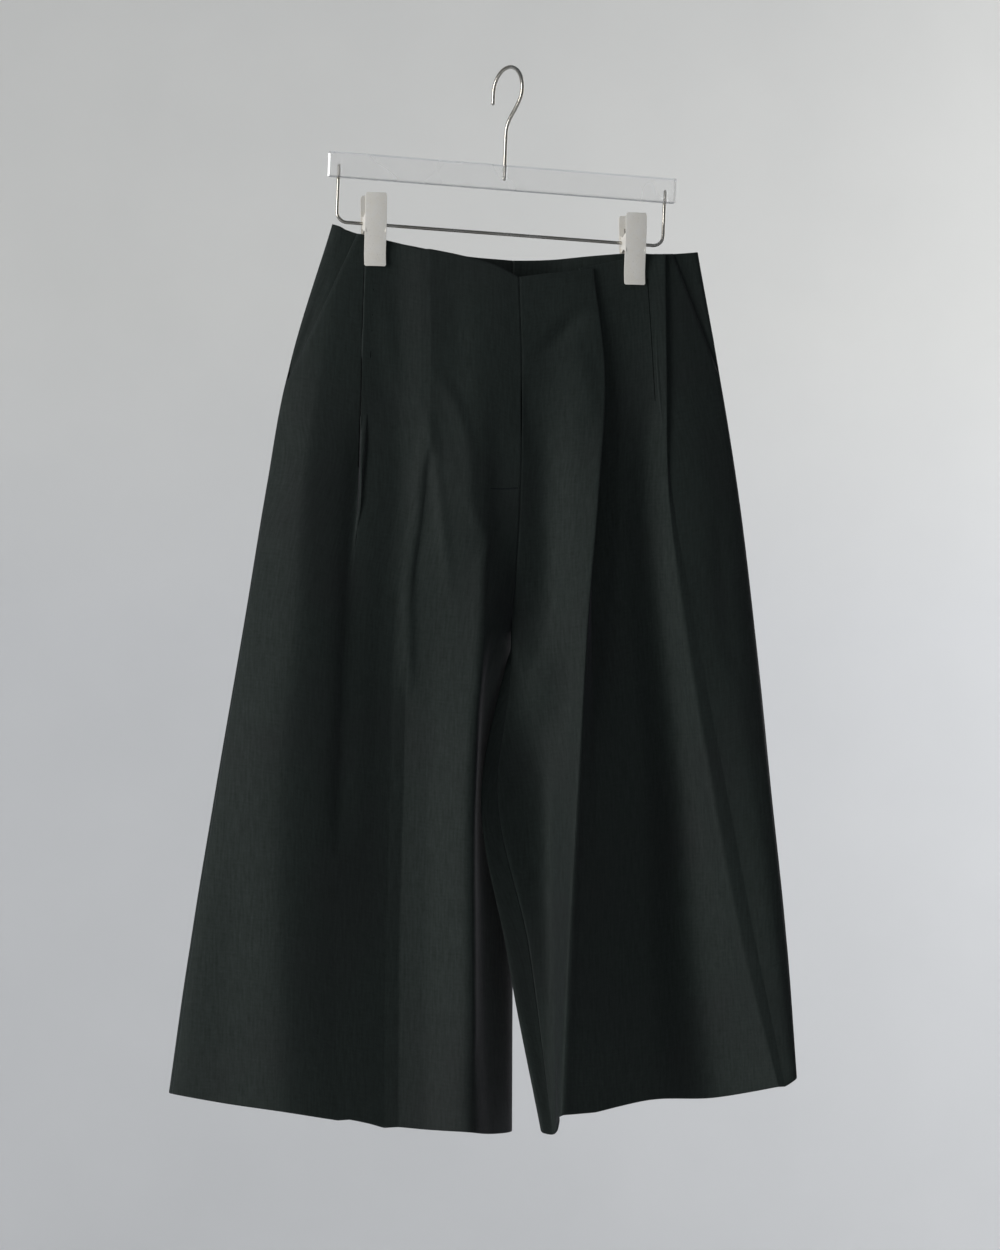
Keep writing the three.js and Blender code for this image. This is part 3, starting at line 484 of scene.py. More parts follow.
# The fronts run from the centre to the side seam.
frontRight = {
    "centreFront": foldRow(2, -184, [2.85, -13.1], [5.35, -13.2], [3.6, -15.2], [-2.15, -7.4],
        rise=[1.2, -12.3], **inseamRight),
    "flank": foldRow(2, -175, [-16, -14], [-14, -15], [-17, -18], [-18, -21], [-33, -19],
        [-32, -21], [-27, -26], split=[-28, -20], foot=-930),
    "innerRidge": foldRow(2, -169, [-37, -13], [-34, -16], [-32, -23], [-31, -29], [-46, -37],
        [-47, -40], [-48, -45], foot=-924.7),
    "dip": foldRow(2, -165, [-55, -11.5], [-54, -14], [-60, -20.5], [-74, -17], [-80, -19],
        [-82, -21], [-84, -26], foot=-924),
    "tuckByFly": foldRow(2, -161.5, [-76, -10.5, -8, 1.2], [-76, -13.6, -8, 1.8],
        [-80, -12.5, -8, 1.5], [-94, -12, -12, 0.5], [-100, -13, -12, -1], [-104, -15, -12, -1.5],
        [-106, -20.5, -12, -1], foot=-922, tuck=-1),
    "valley": foldRow(2, -157, [-101, -5.4], [-104, -7], [-102, -8], [-120, -13], [-126, -17],
        [-128, -19], [-131, -24], foot=-917.7),
    "tuckByPocket": foldRow(2, -151, [-131, -5.8, 9, 1.9], [-136, -9, 8, 2.2], [-139, -12, 1, 2.4],
        [-146, -20, -8, -2.5], [-152, -25, -10, -3], [-153, -25, -10, -2.5], [-150, -28, -10, -2],
        foot=-912.7, tuck=-1),
    "outerRidge": foldRow(2, -147.5, [-146, -3.4], [-172, -8], [-188, -16], [-196, -29],
        [-212, -35], [-212, -36], [-206, -37], foot=-903),
    "outerSlope": foldRow(3, -143.5, [-153, -2.6], [-186, -4], [-205, -8], [-219, -20],
        [-242, -25], [-252, -22], [-260, -20], foot=-895.5),
}
frontLeft = {
    "centreFront": foldRow(2, -184, [3.15, -13], [5.65, -13.1], [3.9, -15.1], [-1.85, -7.4],
        rise=[1.5, -12.2], **inseamLeft),
    "hollow": foldRow(2, -180, [30, -12.8], [27, -11.5], [27, -11], [30, -12], [27, -20],
        [27, -29], [30, -44], split=[18, -20], foot=-920),
    "innerSlope": foldRow(2, -177, [54, -11.4], [58, -15.5], [54, -24], [46, -27], [38, -37],
        [34, -45], [28.5, -51], foot=-914),
    "tuckByFly": foldRow(3, -174.5, [71, -9.8, 12, 2.2], [80, -16.5, 9, 3], [71, -30, 2, 12],
        [60, -36, -5, 11], [47, -50, -18, 9], [38, -56, -26, 10], [31, -58, -32, 9], foot=-911,
        tuck=1),
    "valley": foldRow(2, -166, [95, -6], [99, -8], [96, -14], [100, -15], [112, -24], [114, -28],
        [118, -33], foot=-904.5),
    "dip": foldRow(2, -160.5, [124, -5.6], [126, -9], [120, -8], [134, -7], [152, -11], [161, -13],
        [180, -17], foot=-907.5),
    "tuckByPocket": foldRow(2, -159.5, [138, -6.6, 9, 2.2], [138, -12, 8, 3],
        [138.5, -16, -3, 1.5], [151, -21, -8, 0], [175, -31, -12, -1], [197, -42, -12, -2],
        [228, -53, -6, 0], foot=-894, tuck=1),
    "outerSlope": foldRow(3, -158, [155, -2.4], [164, -7], [176, -13.5], [191, -22], [212, -37],
        [227, -50], [241, -54], foot=-890),
}

# The backs run from the side seam to the centre.
backRight = {
    "outerRidge": foldRow(3, -147, [-141, 4.8], [-165, 14], [-182, 20], [-196, 26], [-220, 34],
        [-238, 44], [-250, 54], foot=-904),
    "valley": foldRow(3, -152, [-121, 3.2], [-125, 9], [-135, 16], [-146, 20], [-158, 22],
        [-166, 26], [-172, 30], foot=-912),
    "middleRidge": foldRow(3, -158, [-84, 6], [-85, 15], [-90, 27], [-98, 33], [-106, 42],
        [-110, 50], [-114, 58], foot=-922),
    "innerValley": foldRow(3, -164, [-40, 12], [-42, 19], [-45, 24], [-50, 24], [-54, 28],
        [-55, 32], [-56, 36], foot=-928),
    "centreBack": foldRow(0, -166.5, [3.85, 14], [3.85, 17], [2.85, 18], [-2.15, -4.6],
        rise=[0.8, 11], **inseamRight),
}
backLeft = {
    "outerSlope": foldRow(3, -158.5, [140, 3.4], [165, 12], [180, 14], [192, 14], [205, 12],
        [216, 10], [226, 8], foot=-900),
    "outerRidge": foldRow(3, -158.3, [112, 3.2], [120, 9], [133, 16], [146, 20], [158, 26],
        [166, 32], [172, 38], foot=-908),
    "middleRidge": foldRow(3, -161, [78, 6], [85, 15], [92, 27], [98, 33], [104, 42], [110, 50],
        [114, 56], foot=-914),
    "innerValley": foldRow(2, -165, [40, 12], [44, 19], [48, 23], [50, 20], [45, 14], [50, 18],
        [62, 26], foot=-918),
    "behindInnerFold": foldRow(4, -166, [24, 13], [24, 18], [24, 20], [22, 8], [-8, -14], [8, -10],
        [30, 0], rise=[24, 18], split=[8, 0], foot=-926),
    "innerFold": foldRow(4, -166.3, [14, 13.6], [14, 17.5], [13, 19], [7, 0], [-34, -31],
        [-12, -28], [20, -34], rise=[11, 14], split=[-9, -10], foot=-930),
    "centreBack": foldRow(0, -166.5, [4.15, 14], [4.15, 17], [3.15, 18], [-1.85, -4.6],
        rise=[1.1, 11], **inseamLeft),
}

# Slant pocket mouths, from the waist down to the side seam. The front's mesh is squeezed
# towards its mouth over this many cuts.
pocketRight = {"topX": -138, "topZ": -147, "bottomX": -198, "bottomZ": -276, "squeezed": 8}
pocketLeft = {"topX": 146, "topZ": -158, "bottomX": 189, "bottomZ": -264, "squeezed": 6}

clothSize = {
    "wall": 1.2,  # with its nap
    "shell": 1.0,  # the sheet that is drawn, so that sewn layers don't touch
    "fine": 5,  # mesh columns for each of a row's cuts
    "seamGap": 1.4,  # from the inseam's middle to a front or a back above the crotch
    "roundTuck": 4,  # a tuck's fold is full once the cloth runs this far under it
}
fine = clothSize["fine"]
# Heights of the mesh rows from the waist down, closer together at both ends.
rowSpans = [(levels["waist"], levels["hem"], 186), (levels["waist"], levels["waist"] - 15, 8),
            (levels["hem"] + 12, levels["hem"], 7)]
rowHeights = np.unique(np.concatenate([np.linspace(*span) for span in rowSpans]))[::-1]


# From 0 to 1 as 3t² - 2t³, flat at both ends.
def ease(t):
    t = np.clip(t, 0, 1)
    return t * t * (3 - 2 * t)


# 0 down to the crotch and 1 from the split on, where each leg is a tube of its own.
def closedBelow(z):
    return ease((levels["crotch"] - z) / (levels["crotch"] - levels["split"]))


# The cubic from p0 to p1 that leaves with the slope m0 and arrives with m1.
def hermite(p0, p1, m0, m1, t):
    start = p0 * (2 * t**3 - 3 * t**2 + 1) + m0 * (t**3 - 2 * t**2 + t)
    return start + p1 * (3 * t**2 - 2 * t**3) + m1 * (t**3 - t**2)


# A row's numbers at the heights z: cubics through the heights that the row names, where each
# slope is the mean of the two steps beside it, the shorter one counting more.
def rowAt(row, z):
    names = [name for name in levels if name in row]
    at = np.array([levels[name] for name in names], float)
    values = np.array([row[name] for name in names], float)
    gaps = np.diff(at)[:, None]
    steps = np.diff(values, axis=0) / gaps
    middle = (steps[:-1] * gaps[1:] + steps[1:] * gaps[:-1]) / (gaps[:-1] + gaps[1:])
    slopes = np.vstack([steps[:1], middle, steps[-1:]])
    k = np.minimum((z[:, None] < at[None, 1:-1]).sum(1), len(at) - 2)
    h = (at[k + 1] - at[k])[:, None]
    t = (z - at[k])[:, None] / h
    return hermite(values[k], values[k + 1], slopes[k] * h, slopes[k + 1] * h, t)


# Above the tucks' ends and below the knee a height slides evenly to the row's own edge.
def heightAt(row, z):
    nearTop = np.clip((z - levels["tuckEnd"]) / (levels["waist"] - levels["tuckEnd"]), 0, 1)
    nearFoot = np.clip((levels["knee"] - z) / (levels["knee"] - levels["hem"]), 0, 1)
    return z + (row["top"] - levels["waist"]) * nearTop + (row["foot"] - levels["hem"]) * nearFoot


# A fold's points across a section. A tuck has four, from its top layer to its last: spread
# evenly where it is open, and doubled back under its edge where it is shut.
def foldPoints(row, z):
    place = rowAt(row, z)
    up = heightAt(row, z)
    if "tuck" not in row:
        return [np.stack([place[:, 0], place[:, 1], up], -1)]
    x, y, under, drop = place.T
    shut = np.clip(under / clothSize["roundTuck"], 0, 1)
    points = []
    for i in range(4):
        opened = -under * i / 3
        closed = 0 if i < 2 else -under
        out = opened + (closed - opened) * shut
        back = [0, 1 / 3 + shut / 6, 2 / 3 - shut / 6, 1][i]
        points.append(np.stack([x + row["tuck"] * out, y + drop * back, up], -1))
    return points


# One half of the garment as a grid, from the centre front to the side and on to the centre
# back. Each section runs through its folds' points on cubics. A point's slope is the mean of
# the two directions beside it, and it reaches no further than the nearer point, or a little
# further on an open fold. Below the crotch both ends meet in the inseam.
def makeHalf(front, side, back, sign):
    z = rowHeights
    points, cuts, tight = [], [], []
    for row in (*front.values(), side, *back.values()):
        for i, p in enumerate(foldPoints(row, z)):
            points.append(p)
            cuts.append(1 if "tuck" in row and i < 3 else row["cuts"])
            tight.append("tuck" in row)
    sideIndex = sum(4 if "tuck" in row else 1 for row in front.values())
    closed = closedBelow(z)[:, None]
    below = (z < levels["crotch"])[:, None]
    middle = (points[0] + points[-1]) / 2
    apart = np.array([0, clothSize["seamGap"], 0]) * (1 - closed)
    points[0] = np.where(below, middle - apart, points[0])
    points[-1] = np.where(below, middle + apart, points[-1])

    def tangent(p, a, b):
        h1, h2 = lengths(p - a)[:, None], lengths(b - p)[:, None]
        return ((p - a) / h1 * h2 + (b - p) / h2 * h1) / (h1 + h2), np.minimum(h1, h2)

    slopes, reaches = [], []
    last = len(points) - 1
    for i, p in enumerate(points):
        if 0 < i < last:
            t, reach = tangent(p, points[i - 1], points[i + 1])
            reach = reach * (1 if tight[i] else 1.6)
        else:
            straight = unit(points[1] - p) if i == 0 else unit(p - points[last - 1])
            rounded, _ = tangent(p, points[last - 1], points[1])
            t = straight + (rounded - straight) * closed
            reach = lengths(p - points[1 if i == 0 else last - 1])[:, None]
        slopes.append(t)
        reaches.append(reach)

    columns = []
    for i in range(last):
        if i == sideIndex:
            sideStep = len(columns)
        h = lengths(points[i + 1] - points[i])[:, None]
        m0 = slopes[i] * np.minimum(h, reaches[i])
        m1 = slopes[i + 1] * np.minimum(h, reaches[i + 1])
        count = cuts[i] * fine
        columns += [hermite(points[i], points[i + 1], m0, m1, c / count) for c in range(count)]
    columns.append(points[last])
    grid = np.stack(columns, 1)
    return {"grid": grid, "sideStep": sideStep, "sign": sign, "normals": gridNormals(grid, sign)}


# Square to the mean direction across the grid and to the direction down it, facing outwards.
def gridNormals(grid, sign):
    after = np.concatenate([grid[:, 1:], grid[:, 1:2]], 1)
    before = np.concatenate([grid[:, -2:-1], grid[:, :-1]], 1)
    before[:, -1] = grid[:, -2]
    across = unit(after - grid) + unit(grid - before)
    down = np.gradient(grid, axis=0)
    return -sign * unit(np.cross(across, down))


# A crease runs down the cloth through its points [x, z]. depth is how far it stands out as a
# ridge or sinks as a trough, width how far it spreads to its left and its right, and fade how
# long it takes to appear and to die out.
frontCreases = [
    {"through": [(-77, -290), (-77, -328), (-83, -354), (-87, -400), (-94, -450), (-95, -560)],
     "depth": 2.4, "width": (7, 5), "fade": 40},
    {"through": [(-71, -311), (-71, -346), (-69, -372), (-64, -420), (-60, -470)],
     "depth": 1.6, "width": (5, 4), "fade": 30},
    {"through": [(-76, -262), (-56, -294), (-43, -338), (-42, -382), (-27, -424)],
     "depth": 1.3, "width": (7, 6), "fade": 30},
    {"through": [(-27, -405), (-33, -441), (-36, -480), (-42, -560)],
     "depth": 1.8, "width": (5, 4), "fade": 30},
    {"through": [(-42, -540), (-45, -636), (-45, -765), (-46, -890)],
     "depth": 2.6, "width": (9, 5), "fade": 60},
    {"through": [(-135, -290), (-140, -350), (-146, -430), (-154, -560), (-160, -700)],
     "depth": -2.2, "width": (9, 12), "fade": 60},
    {"through": [(60, -205), (46, -228), (30, -246), (14, -256)],
     "depth": -3.0, "width": (9, 12), "fade": 20},
    {"through": [(56, -240), (64, -272), (66, -320)],
     "depth": 1.4, "width": (14, 8), "fade": 24},
    {"through": [(14, -262), (12, -300), (16, -345)],
     "depth": -1.3, "width": (9, 12), "fade": 30},
    {"through": [(138, -400), (152, -500), (168, -600), (190, -720), (210, -815), (226, -890)],
     "depth": 2.6, "width": (7, 16), "fade": 60},
    {"through": [(185, -380), (188, -470), (200, -560)],
     "depth": -1.6, "width": (9, 9), "fade": 50},
    {"through": [(-117, -190), (-112, -240), (-104, -300)],
     "depth": 1.0, "width": (7, 8), "fade": 40},
]
backCreases = [
    {"through": [(-78, -200), (-84, -250), (-96, -330), (-104, -400)],
     "depth": 1.4, "width": (8, 6), "fade": 40},
    {"through": [(-60, -330), (-52, -400), (-40, -470), (-34, -520)],
     "depth": 1.8, "width": (7, 6), "fade": 40},
    {"through": [(-150, -300), (-158, -420), (-172, -560), (-180, -720)],
     "depth": -2.0, "width": (10, 12), "fade": 70},
    {"through": [(58, -320), (46, -390), (34, -450)],
     "depth": 1.6, "width": (7, 6), "fade": 35},
    {"through": [(112, -380), (126, -500), (148, -640), (166, -780), (176, -880)],
     "depth": 2.2, "width": (8, 14), "fade": 70},
    {"through": [(176, -360), (186, -470), (196, -560)],
     "depth": -1.5, "width": (9, 9), "fade": 50},
]


# How far each point moves out: the creases' depths, each times a bell curve of the distance
# across it.
def creaseField(creases, grid):
    x, z = grid[..., 0], grid[..., 2]
    out = np.zeros(x.shape)
    for crease in creases:
        path = smoothPath([(px, 0, pz) for px, pz in crease["through"]], 8)
        order = np.argsort(path[:, 2])
        centre = np.interp(z, path[order, 2], path[order, 0])
        top, foot = crease["through"][0][1], crease["through"][-1][1]
        strength = ease((top - z) / crease["fade"]) * ease((z - foot) / crease["fade"])
        spread = np.where(x < centre, *crease["width"])
        out += crease["depth"] * strength * np.exp(-(((x - centre) / spread) ** 2))
    return out


# The half's grid, each point moved out along its normal by the creases.
def creased(half, creases):
    return half["grid"] + half["normals"] * creaseField(creases, half["grid"])[..., None]


# The grid's points at steps between its columns, on straight lines.
def sampleColumns(grid, steps):
    low = np.clip(np.floor(steps).astype(int), 0, grid.shape[1] - 2)
    share = (steps - low)[..., None]
    rows = np.arange(grid.shape[0])[:, None]
    return grid[rows, low] * (1 - share) + grid[rows, low + 1] * share


# The step of each row at which the pocket's slanting edge crosses it, or the side seam.
def pocketSteps(half, pocket, searched=9):
    grid, side = half["grid"], half["sideStep"]
    slope = (pocket["bottomX"] - pocket["topX"]) / (pocket["bottomZ"] - pocket["topZ"])
    edge = pocket["topX"] + (grid[..., 2] - pocket["topZ"]) * slope
    ahead = half["sign"] * (edge - grid[..., 0])
    first = side - searched * fine
    here, after = ahead[:, first:side], ahead[:, first + 1 : side + 1]
    crossed = (here >= 0) & (after <= 0) & (rowHeights > pocket["bottomZ"])[:, None]
    found, c = crossed.any(1), crossed.argmax(1)
    rows = np.arange(len(rowHeights))
    step = here[rows, c] - after[rows, c]
    share = here[rows, c] / np.where(found, step, 1)
    return np.where(found, first + c + share, side)


# How much of the depth the edges of a panel turn in by, so that a seam reads as a fine groove.
# The fly's edges stand up instead, the right one, which laps over, by more.
seamRoll = {
    "depth": 0.7,
    "reach": 1.7,
    "side": 0.8,
    "inner": 0.15,
    "bearer": 0.6,
    "fly": {-1: -0.4, 1: -0.2},
}


# Each edge sinks by its share of the depth times exp(-(s / reach)²), s from the edge.
def rollEdges(grid, normals, first, last):
    step = lengths(np.diff(grid, axis=1))
    zero = np.zeros((len(grid), 1))
    fromFirst = np.concatenate([zero, step.cumsum(1)], 1)
    fromLast = np.concatenate([step[:, ::-1].cumsum(1)[:, ::-1], zero], 1)
    sink = first * np.exp(-((fromFirst / seamRoll["reach"]) ** 2))
    sink = sink + last * np.exp(-((fromLast / seamRoll["reach"]) ** 2))
    return grid - normals * (seamRoll["depth"] * sink)[..., None]


hem = {"turn": 1.5, "height": 32, "steps": 8}


# The hem is turned up inside: a half circle as wide as the turn, then back up the leg on the
# panel's own rows, moved in by the turn.
def turnHem(grid, normals):
    down = unit(grid[-1] - grid[-4])
    radius = hem["turn"] / 2
    rows = [grid]
    for angle in (45, 90, 135, 180):
        out, back = math.sin(math.radians(angle)), 1 - math.cos(math.radians(angle))
        rows.append([grid[-1] + (down * out - normals[-1] * back) * radius])
    c = np.arange(grid.shape[1])
    for rise in np.arange(1, hem["steps"] + 1) / hem["steps"] * hem["height"]:
        k = np.argmin(np.abs(grid[-1, :, 2] + rise - grid[:, :, 2]), axis=0)
        rows.append([grid[k, c] - normals[k, c] * hem["turn"]])
    return np.concatenate([np.asarray(r) for r in rows])


# A front is its half's columns up to the side, drawn together so that they end at the
# pocket's mouth. Its centre edge is the fly's, which turns into the inseam's at the crotch.
def frontPanel(name, half, pocket):
    keep = half["sideStep"] - pocket["squeezed"] * fine
    stops = pocketSteps(half, pocket)
    c = np.arange(half["sideStep"] + 1)
    share = np.clip((c - keep) / (half["sideStep"] - keep), 0, None)
    steps = np.where(c <= keep, c, keep + share * (stops[:, None] - keep))
    grid = sampleColumns(creased(half, frontCreases), steps)
    normals = unit(sampleColumns(half["normals"], steps))
    half["front"] = (grid, normals)
    seam = ease((levels["crotch"] + 20 - rowHeights) / 30)[:, None]
    fly = seamRoll["fly"][half["sign"]]
    rolled = rollEdges(grid, normals, fly + (seamRoll["inner"] - fly) * seam, seamRoll["side"])
    return clothObject(name, turnHem(rolled, normals), half["sign"], clothSize["shell"])


# A back is its half's columns from the side seam to the centre back and the inseam, with
# both edges rolled in and the hem turned up.
def backPanel(name, half):
    side = half["sideStep"]
    grid, normals = creased(half, backCreases)[:, side:], half["normals"][:, side:]
    rolled = rollEdges(grid, normals, seamRoll["side"], seamRoll["inner"])
    return clothObject(name, turnHem(rolled, normals), half["sign"], clothSize["shell"])


right = makeHalf(frontRight, sideRight, backRight, -1)
left = makeHalf(frontLeft, sideLeft, backLeft, 1)
sheets = {
    "front_right": frontPanel("frontRight", right, pocketRight),
    "front_left": frontPanel("frontLeft", left, pocketLeft),
    "back_right": backPanel("backRight", right),
    "back_left": backPanel("backLeft", left),
}
print("panels made")

# Sewing that shows on the front: the edge and the line that hold the tucks by the pockets,
# and the bar tack at the end of the fly, through their points [x, z].
stitches = {
    "tuckEdgeRight": {"through": [(-131.4, -152), (-134.4, -215), (-137, -300), (-139, -352)],
                      "half": right, "radius": 0.5, "thread": seamThread},
    "tuckStitchRight": {"through": [(-124, -168), (-127, -240), (-131, -292)],
                        "half": right, "radius": 0.45, "thread": seamThread},
    "tuckStitchLeft": {"through": [(122, -182), (125, -235), (128, -290)],
                       "half": left, "radius": 0.45, "thread": seamThread},
    "flyBarTack": {"through": [(-24, -370), (-12, -370), (1, -369)],
                   "half": right, "radius": 0.7, "thread": paintedHighlightTackThread},
}
sunk = 0.6  # of a thread's radius, below the cloth's face


# A thread's path: each point goes to the nearest point of the front that faces forward, along
# the cloth's slope there, and out to its face.
def threadPath(half, through, lift):
    grid, normals = half["front"]
    hidden = 1e4 * (normals[..., 1] > -0.4)
    path = []
    for x, z in smoothPath([(px, 0, pz) for px, pz in through], 10)[:, [0, 2]]:
        away = (grid[..., 0] - x) ** 2 + (grid[..., 2] - z) ** 2 + hidden
        k = np.unravel_index(np.argmin(away), away.shape)
        normal = normals[k]
        point = np.array([x, grid[k][1] - (x - grid[k][0]) * normal[0] / normal[1], z])
        path.append(point + normal * (clothSize["shell"] / 2 + lift) + [garmentX, 0, 0])
    return np.array(path)


for name, line in stitches.items():
    path = threadPath(line["half"], line["through"], -line["radius"] * sunk)
    tubeObject(name, path, line["radius"], line["thread"], 8)

bearerSize = {
    "gap": 0.5,  # behind the front
    "lap": 14,  # under the front, growing from firstLap at the waist
    "firstLap": 4,
    "lapGrowth": 0.4,
    "columns": 31,
    "level": 0.3,  # of the open width stays sunk before it rises
    "room": 9,  # an open width that lets it rise all the way
}


# The hip piece under a slant mouth: behind the front as far as its edge, then rising on a
# smooth step to lie flush at the side seam.
def pocketBearer(name, half, pocket):
    size = bearerSize
    grid, normals, side = half["grid"], half["normals"], half["sideStep"]
    stops = pocketSteps(half, pocket)
    count = np.arange(grid.shape[1])
    points, facing = [], []
    for r in np.flatnonzero(rowHeights >= pocket["bottomZ"] - 1):
        run = np.concatenate([[0], lengths(np.diff(grid[r], axis=0)).cumsum()])
        at = np.interp(stops[r], count, run)
        edgeZ = np.interp(stops[r], count, grid[r, :, 2])
        lap = min(size["lap"], size["firstLap"] + (pocket["topZ"] - edgeZ) * size["lapGrowth"])
        wide = run[side] - at
        s = at - lap + np.linspace(0, 1, size["columns"]) * (wide + lap)
        k = np.interp(s, run, count)
        rise = (s - at - size["level"] * wide) / max((1 - size["level"]) * wide, 0.5)
        rise = ease(rise) * ease(wide / size["room"])
        n = unit(np.stack([np.interp(k, count, normals[r, :, i]) for i in range(3)], -1))
        p = np.stack([np.interp(k, count, grid[r, :, i]) for i in range(3)], -1)
        points.append(p - n * ((1 - rise) * (clothSize["wall"] + size["gap"]))[:, None])
        facing.append(n)
    points, facing = np.array(points), np.array(facing)
    rolled = rollEdges(points, facing, 0, seamRoll["bearer"])
    return clothObject(name, rolled, half["sign"], clothSize["shell"])


facingSize = {"wall": 1.0, "gap": 0.3, "height": 42, "edge": 0.4, "rows": 22, "firstCut": 3}


# The facing inside the back waist, one piece from side to side: the backs' columns near the
# waist, moved in by half of each wall and a gap.
def backFacing(name, size):
    sink = clothSize["wall"] / 2 + size["gap"] + size["wall"] / 2
    rows = np.linspace(size["edge"], size["height"], size["rows"])
    columns = []
    for half, order in ((right, slice(None)), (left, slice(None, None, -1))):
        part = slice(half["sideStep"] + size["firstCut"] * fine, None)
        grid, facing = half["grid"][:, part][:, order], half["normals"][:, part][:, order]
        for c in range(grid.shape[1]):
            depth, at = -grid[:, c, 2], rows - grid[0, c, 2]
            p = np.stack([np.interp(at, depth, grid[:, c, i]) for i in range(3)], -1)
            n = np.stack([np.interp(at, depth, facing[:, c, i]) for i in range(3)], -1)
            columns.append(p - unit(n) * sink)
    return clothObject(name, np.stack(columns, 1), -1, size["wall"])


sheets["pocket_bearer_right"] = pocketBearer("pocketBearerRight", right, pocketRight)
sheets["pocket_bearer_left"] = pocketBearer("pocketBearerLeft", left, pocketLeft)
sheets["waist_facing_back"] = backFacing("waistFacingBack", facingSize)
for node, piece in sheets.items():
    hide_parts(node)
print("pockets and facing made")

hang = math.radians(2.5)  # the hanger tips down on the wearer's left
hookSize = {
    "wire": 3.4,
    "radius": 20.5,
    "turned": math.radians(-65),
    "tip": (-9, -4),  # straight, below the start of the bend
    "bend": np.arange(180, -21, -12.5),
    "neck": [(15.8, -12.6), (11.4, -18), (6.8, -23), (3, -28), (0.8, -33), (0, -39)],
    "barTop": -85,
    "above": 6,
    "inBar": 12,
}
wireSize = {"wire": 3.0, "half": 147.2, "drop": -145.4, "bend": 9, "top": -97.0}


# The points turned about the hook, as the hanger tips.
def tipped(points):
    return np.asarray(points, float) @ np.array(Matrix.Rotation(hang, 3, "Y")).T


# The hook's wire runs up a short tip, round an arc, down the neck and straight into the bar.
def makeHook(size):
    centre = -size["radius"] + size["wire"] / 2
    outline = [(-size["radius"], centre + z) for z in size["tip"]]
    for a in np.radians(size["bend"]):
        outline.append((math.cos(a) * size["radius"], centre + math.sin(a) * size["radius"]))
    outline += [(h, centre + z) for h, z in size["neck"]]
    outline += [(0, size["barTop"] + size["above"]), (0, size["barTop"] - size["inBar"])]
    cos, sin = math.cos(size["turned"]), math.sin(size["turned"])
    path = smoothPath([(h * cos, h * sin, z) for h, z in outline], 5)
    piece = tubeObject("hookWire", tipped(path), size["wire"] / 2, steel, 24)
    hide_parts("hook")


# The lower wire comes out of the bar, turns a quarter circle, runs level and comes back up.
def makeLowerWire(size):
    half, drop, bend = size["half"], size["drop"], size["bend"]
    points = [(-half, 0, size["top"])]
    for x, start in ((-half + bend, 180), (half - bend, 270)):
        for a in np.radians(np.linspace(start, start + 90, 13)):
            points.append((x + bend * math.cos(a), 0, drop + bend + bend * math.sin(a)))
    points.append((half, 0, size["top"]))
    piece = tubeObject("lowerWire", tipped(points), size["wire"] / 2, steel, 24)
    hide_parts("lower_wire")


makeHook(hookSize)
makeLowerWire(wireSize)

# A clip's plates are given by their side profiles [y, z] from the wire's middle, each with the
# lip of its gripping end.
clipSize = {
    "places": {"Right": -121, "Left": 112.6},
    "width": 19.0,
    "plate": 1.2,
    "corner": 1.3,
    "bow": 0.35,
    "rounding": 0.3,
    "front": [(-14, 26), (-13.2, 12), (-11.6, 0), (-9.2, -14), (-7.8, -26), (-8.2, -34)],
    "frontLip": [(-8.5, -35.4), (-8.3, -36.4), (-8.1, -37)],
    "back": [(10, 26), (9.6, 12), (8.6, 0), (6.9, -14), (6.2, -26), (6.6, -34)],
    "backLip": [(6.9, -34.6)],
}
earSize = {"reach": 3.4, "eye": 3.6, "foot": 8, "plate": 1.0, "rounding": 0.2}
springSize = {"turns": 6, "length": 9.0, "radius": 3.2, "wire": 1.1, "points": 150}


# Sheet metal: the plate's thickness, with its edges rounded.
def pressed(piece, thickness, rounding, segments):
    thicken(piece, thickness)
    edge = piece.modifiers.new("edge", "BEVEL")
    edge.width = rounding * metre
    edge.segments = segments
    return edge


# A plate carried across its side profile: bowed by 1 - a², where a runs from -1 to 1 across
# it, and narrowed near both ends by a quarter circle.
def clipPlate(name, profile, lip, outward, size):
    line = smoothPath([(0, y, z) for y, z in profile], 6)[:, 1:]
    line = np.vstack([line, lip])
    corner = size["corner"]
    across = np.concatenate([[-1, -0.97, -0.9], np.linspace(-0.8, 0.8, 9), [0.9, 0.97, 1]])
    run = np.concatenate([[0], lengths(np.diff(line, axis=0)).cumsum()])[:, None]
    near = np.minimum(run, run[-1] - run)
    trim = corner - np.sqrt(np.maximum(0, corner**2 - np.maximum(0, corner - near) ** 2))
    x = (size["width"] / 2 - trim) * across
    y = line[:, :1] + size["bow"] * outward * (1 - across**2)
    grid = np.stack([x, y, np.broadcast_to(line[:, 1:], x.shape)], -1)
    piece = meshObject(name, grid * metre, quads(*x.shape), nickel)
    pressed(piece, size["plate"], size["rounding"], 3).limit_method = "ANGLE"
    return piece


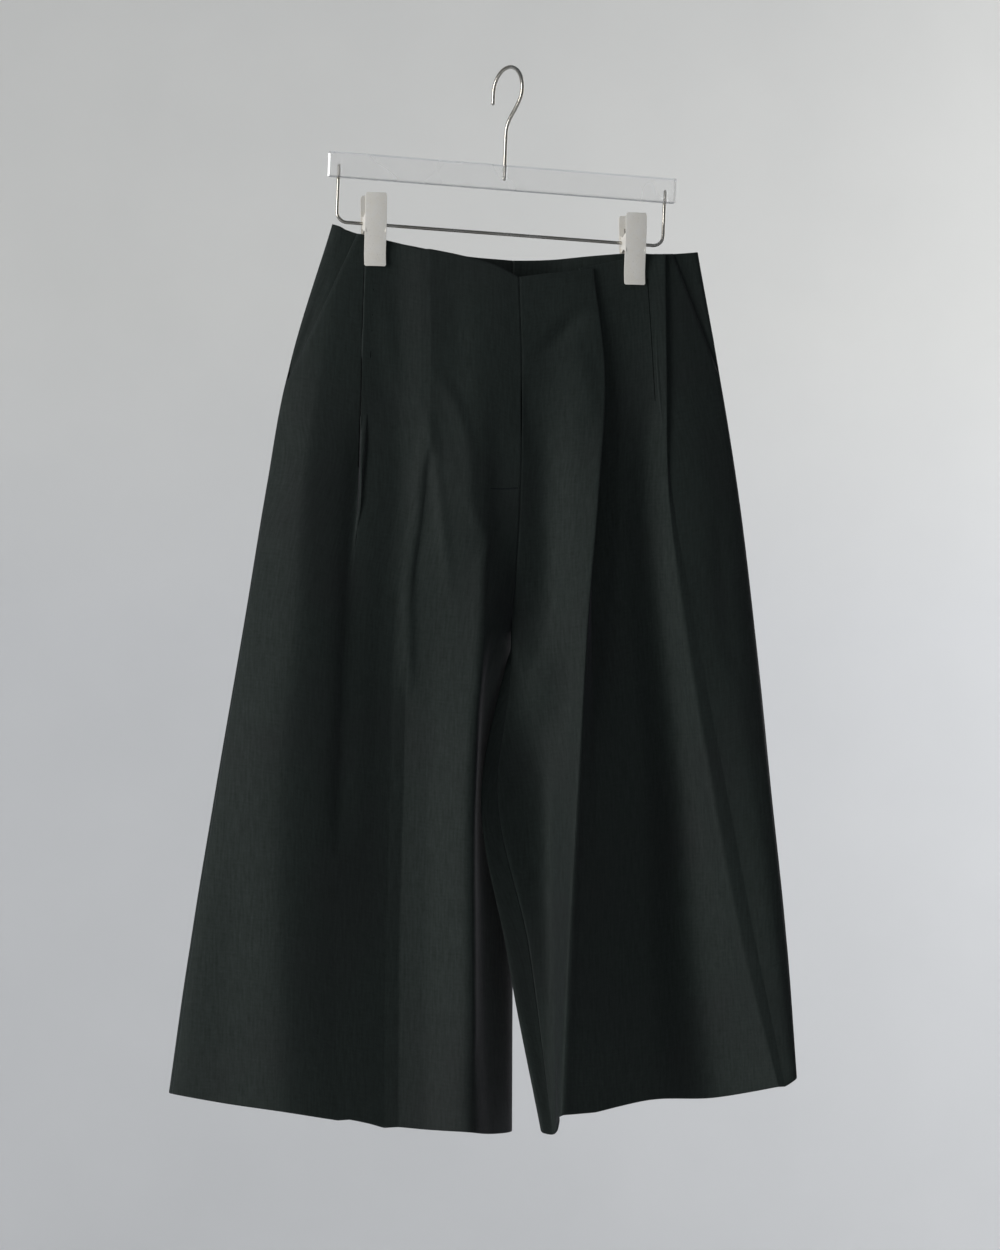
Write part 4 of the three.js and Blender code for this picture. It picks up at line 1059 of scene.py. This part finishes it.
# Two ears stand in from a plate towards the wire, each a half ellipse round its eye.
def clipEars(name, root, inset):
    size = earSize
    turn = np.radians(np.linspace(-90, 90, 13))
    tip = -math.copysign(size["reach"], root) * (1 + 0.9 * np.cos(turn))
    outline = [(root, -size["foot"]), *zip(tip, size["eye"] * np.sin(turn)), (root, size["foot"])]
    x = clipSize["width"] / 2 - inset
    vertices = [(side * x, y, z) for side in (-1, 1) for y, z in outline]
    count = len(outline)
    faces = [list(range(count)), list(range(count, 2 * count))]
    piece = meshObject(name, np.array(vertices) * metre, faces, nickel, smooth=False)
    pressed(piece, size["plate"], size["rounding"], 2)
    return piece


# A coil round the wire, x even and y and z on a circle, with a leg out to each plate.
def springCoil(size):
    t = np.linspace(0, 1, size["points"])
    angle = 2 * math.pi * size["turns"] * t
    half, radius = size["length"] / 2, size["radius"]
    coil = np.stack([(2 * t - 1) * half, radius * np.cos(angle), radius * np.sin(angle)], -1)
    return np.vstack([[(-half, 8.4, 14), (-half, 5.2, 4)], coil, [(half, -9.6, 13)]])


for side, x in clipSize["places"].items():
    z = wireSize["drop"] / math.cos(hang) - x * math.tan(hang)
    name, node = f"clip{side}", f"clip_{side.lower()}"
    front = clipPlate(f"{name}Front", clipSize["front"], clipSize["frontLip"], -1, clipSize)
    back = clipPlate(f"{name}Back", clipSize["back"], clipSize["backLip"], 1, clipSize)
    frontEars = clipEars(f"{name}FrontEars", -11.6, 0.5)
    backEars = clipEars(f"{name}BackEars", 8.6, 1.9)
    path = springCoil(springSize) + [x, 0, z]
    spring = tubeObject(f"{name}Spring", path, springSize["wire"] / 2, steel, 8)
    for piece in (front, back, frontEars, backEars):
        piece.data.transform(Matrix.Translation(Vector((x, 0, z)) * metre))
        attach(piece, "root")
    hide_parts(f"{node}_front")
    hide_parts(f"{node}_back")
    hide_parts(f"{node}_spring")

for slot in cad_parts["bar"].material_slots:
    slot.material = acrylic
print("hanger made")

# Each sheet's cut is as wide and as long as its UVs reach, and its area is the cloth's own.
for piece in sheets.values():
    layer = np.empty(len(piece.data.loops) * 2)
    piece.data.uv_layers["cut"].data.foreach_get("uv", layer)
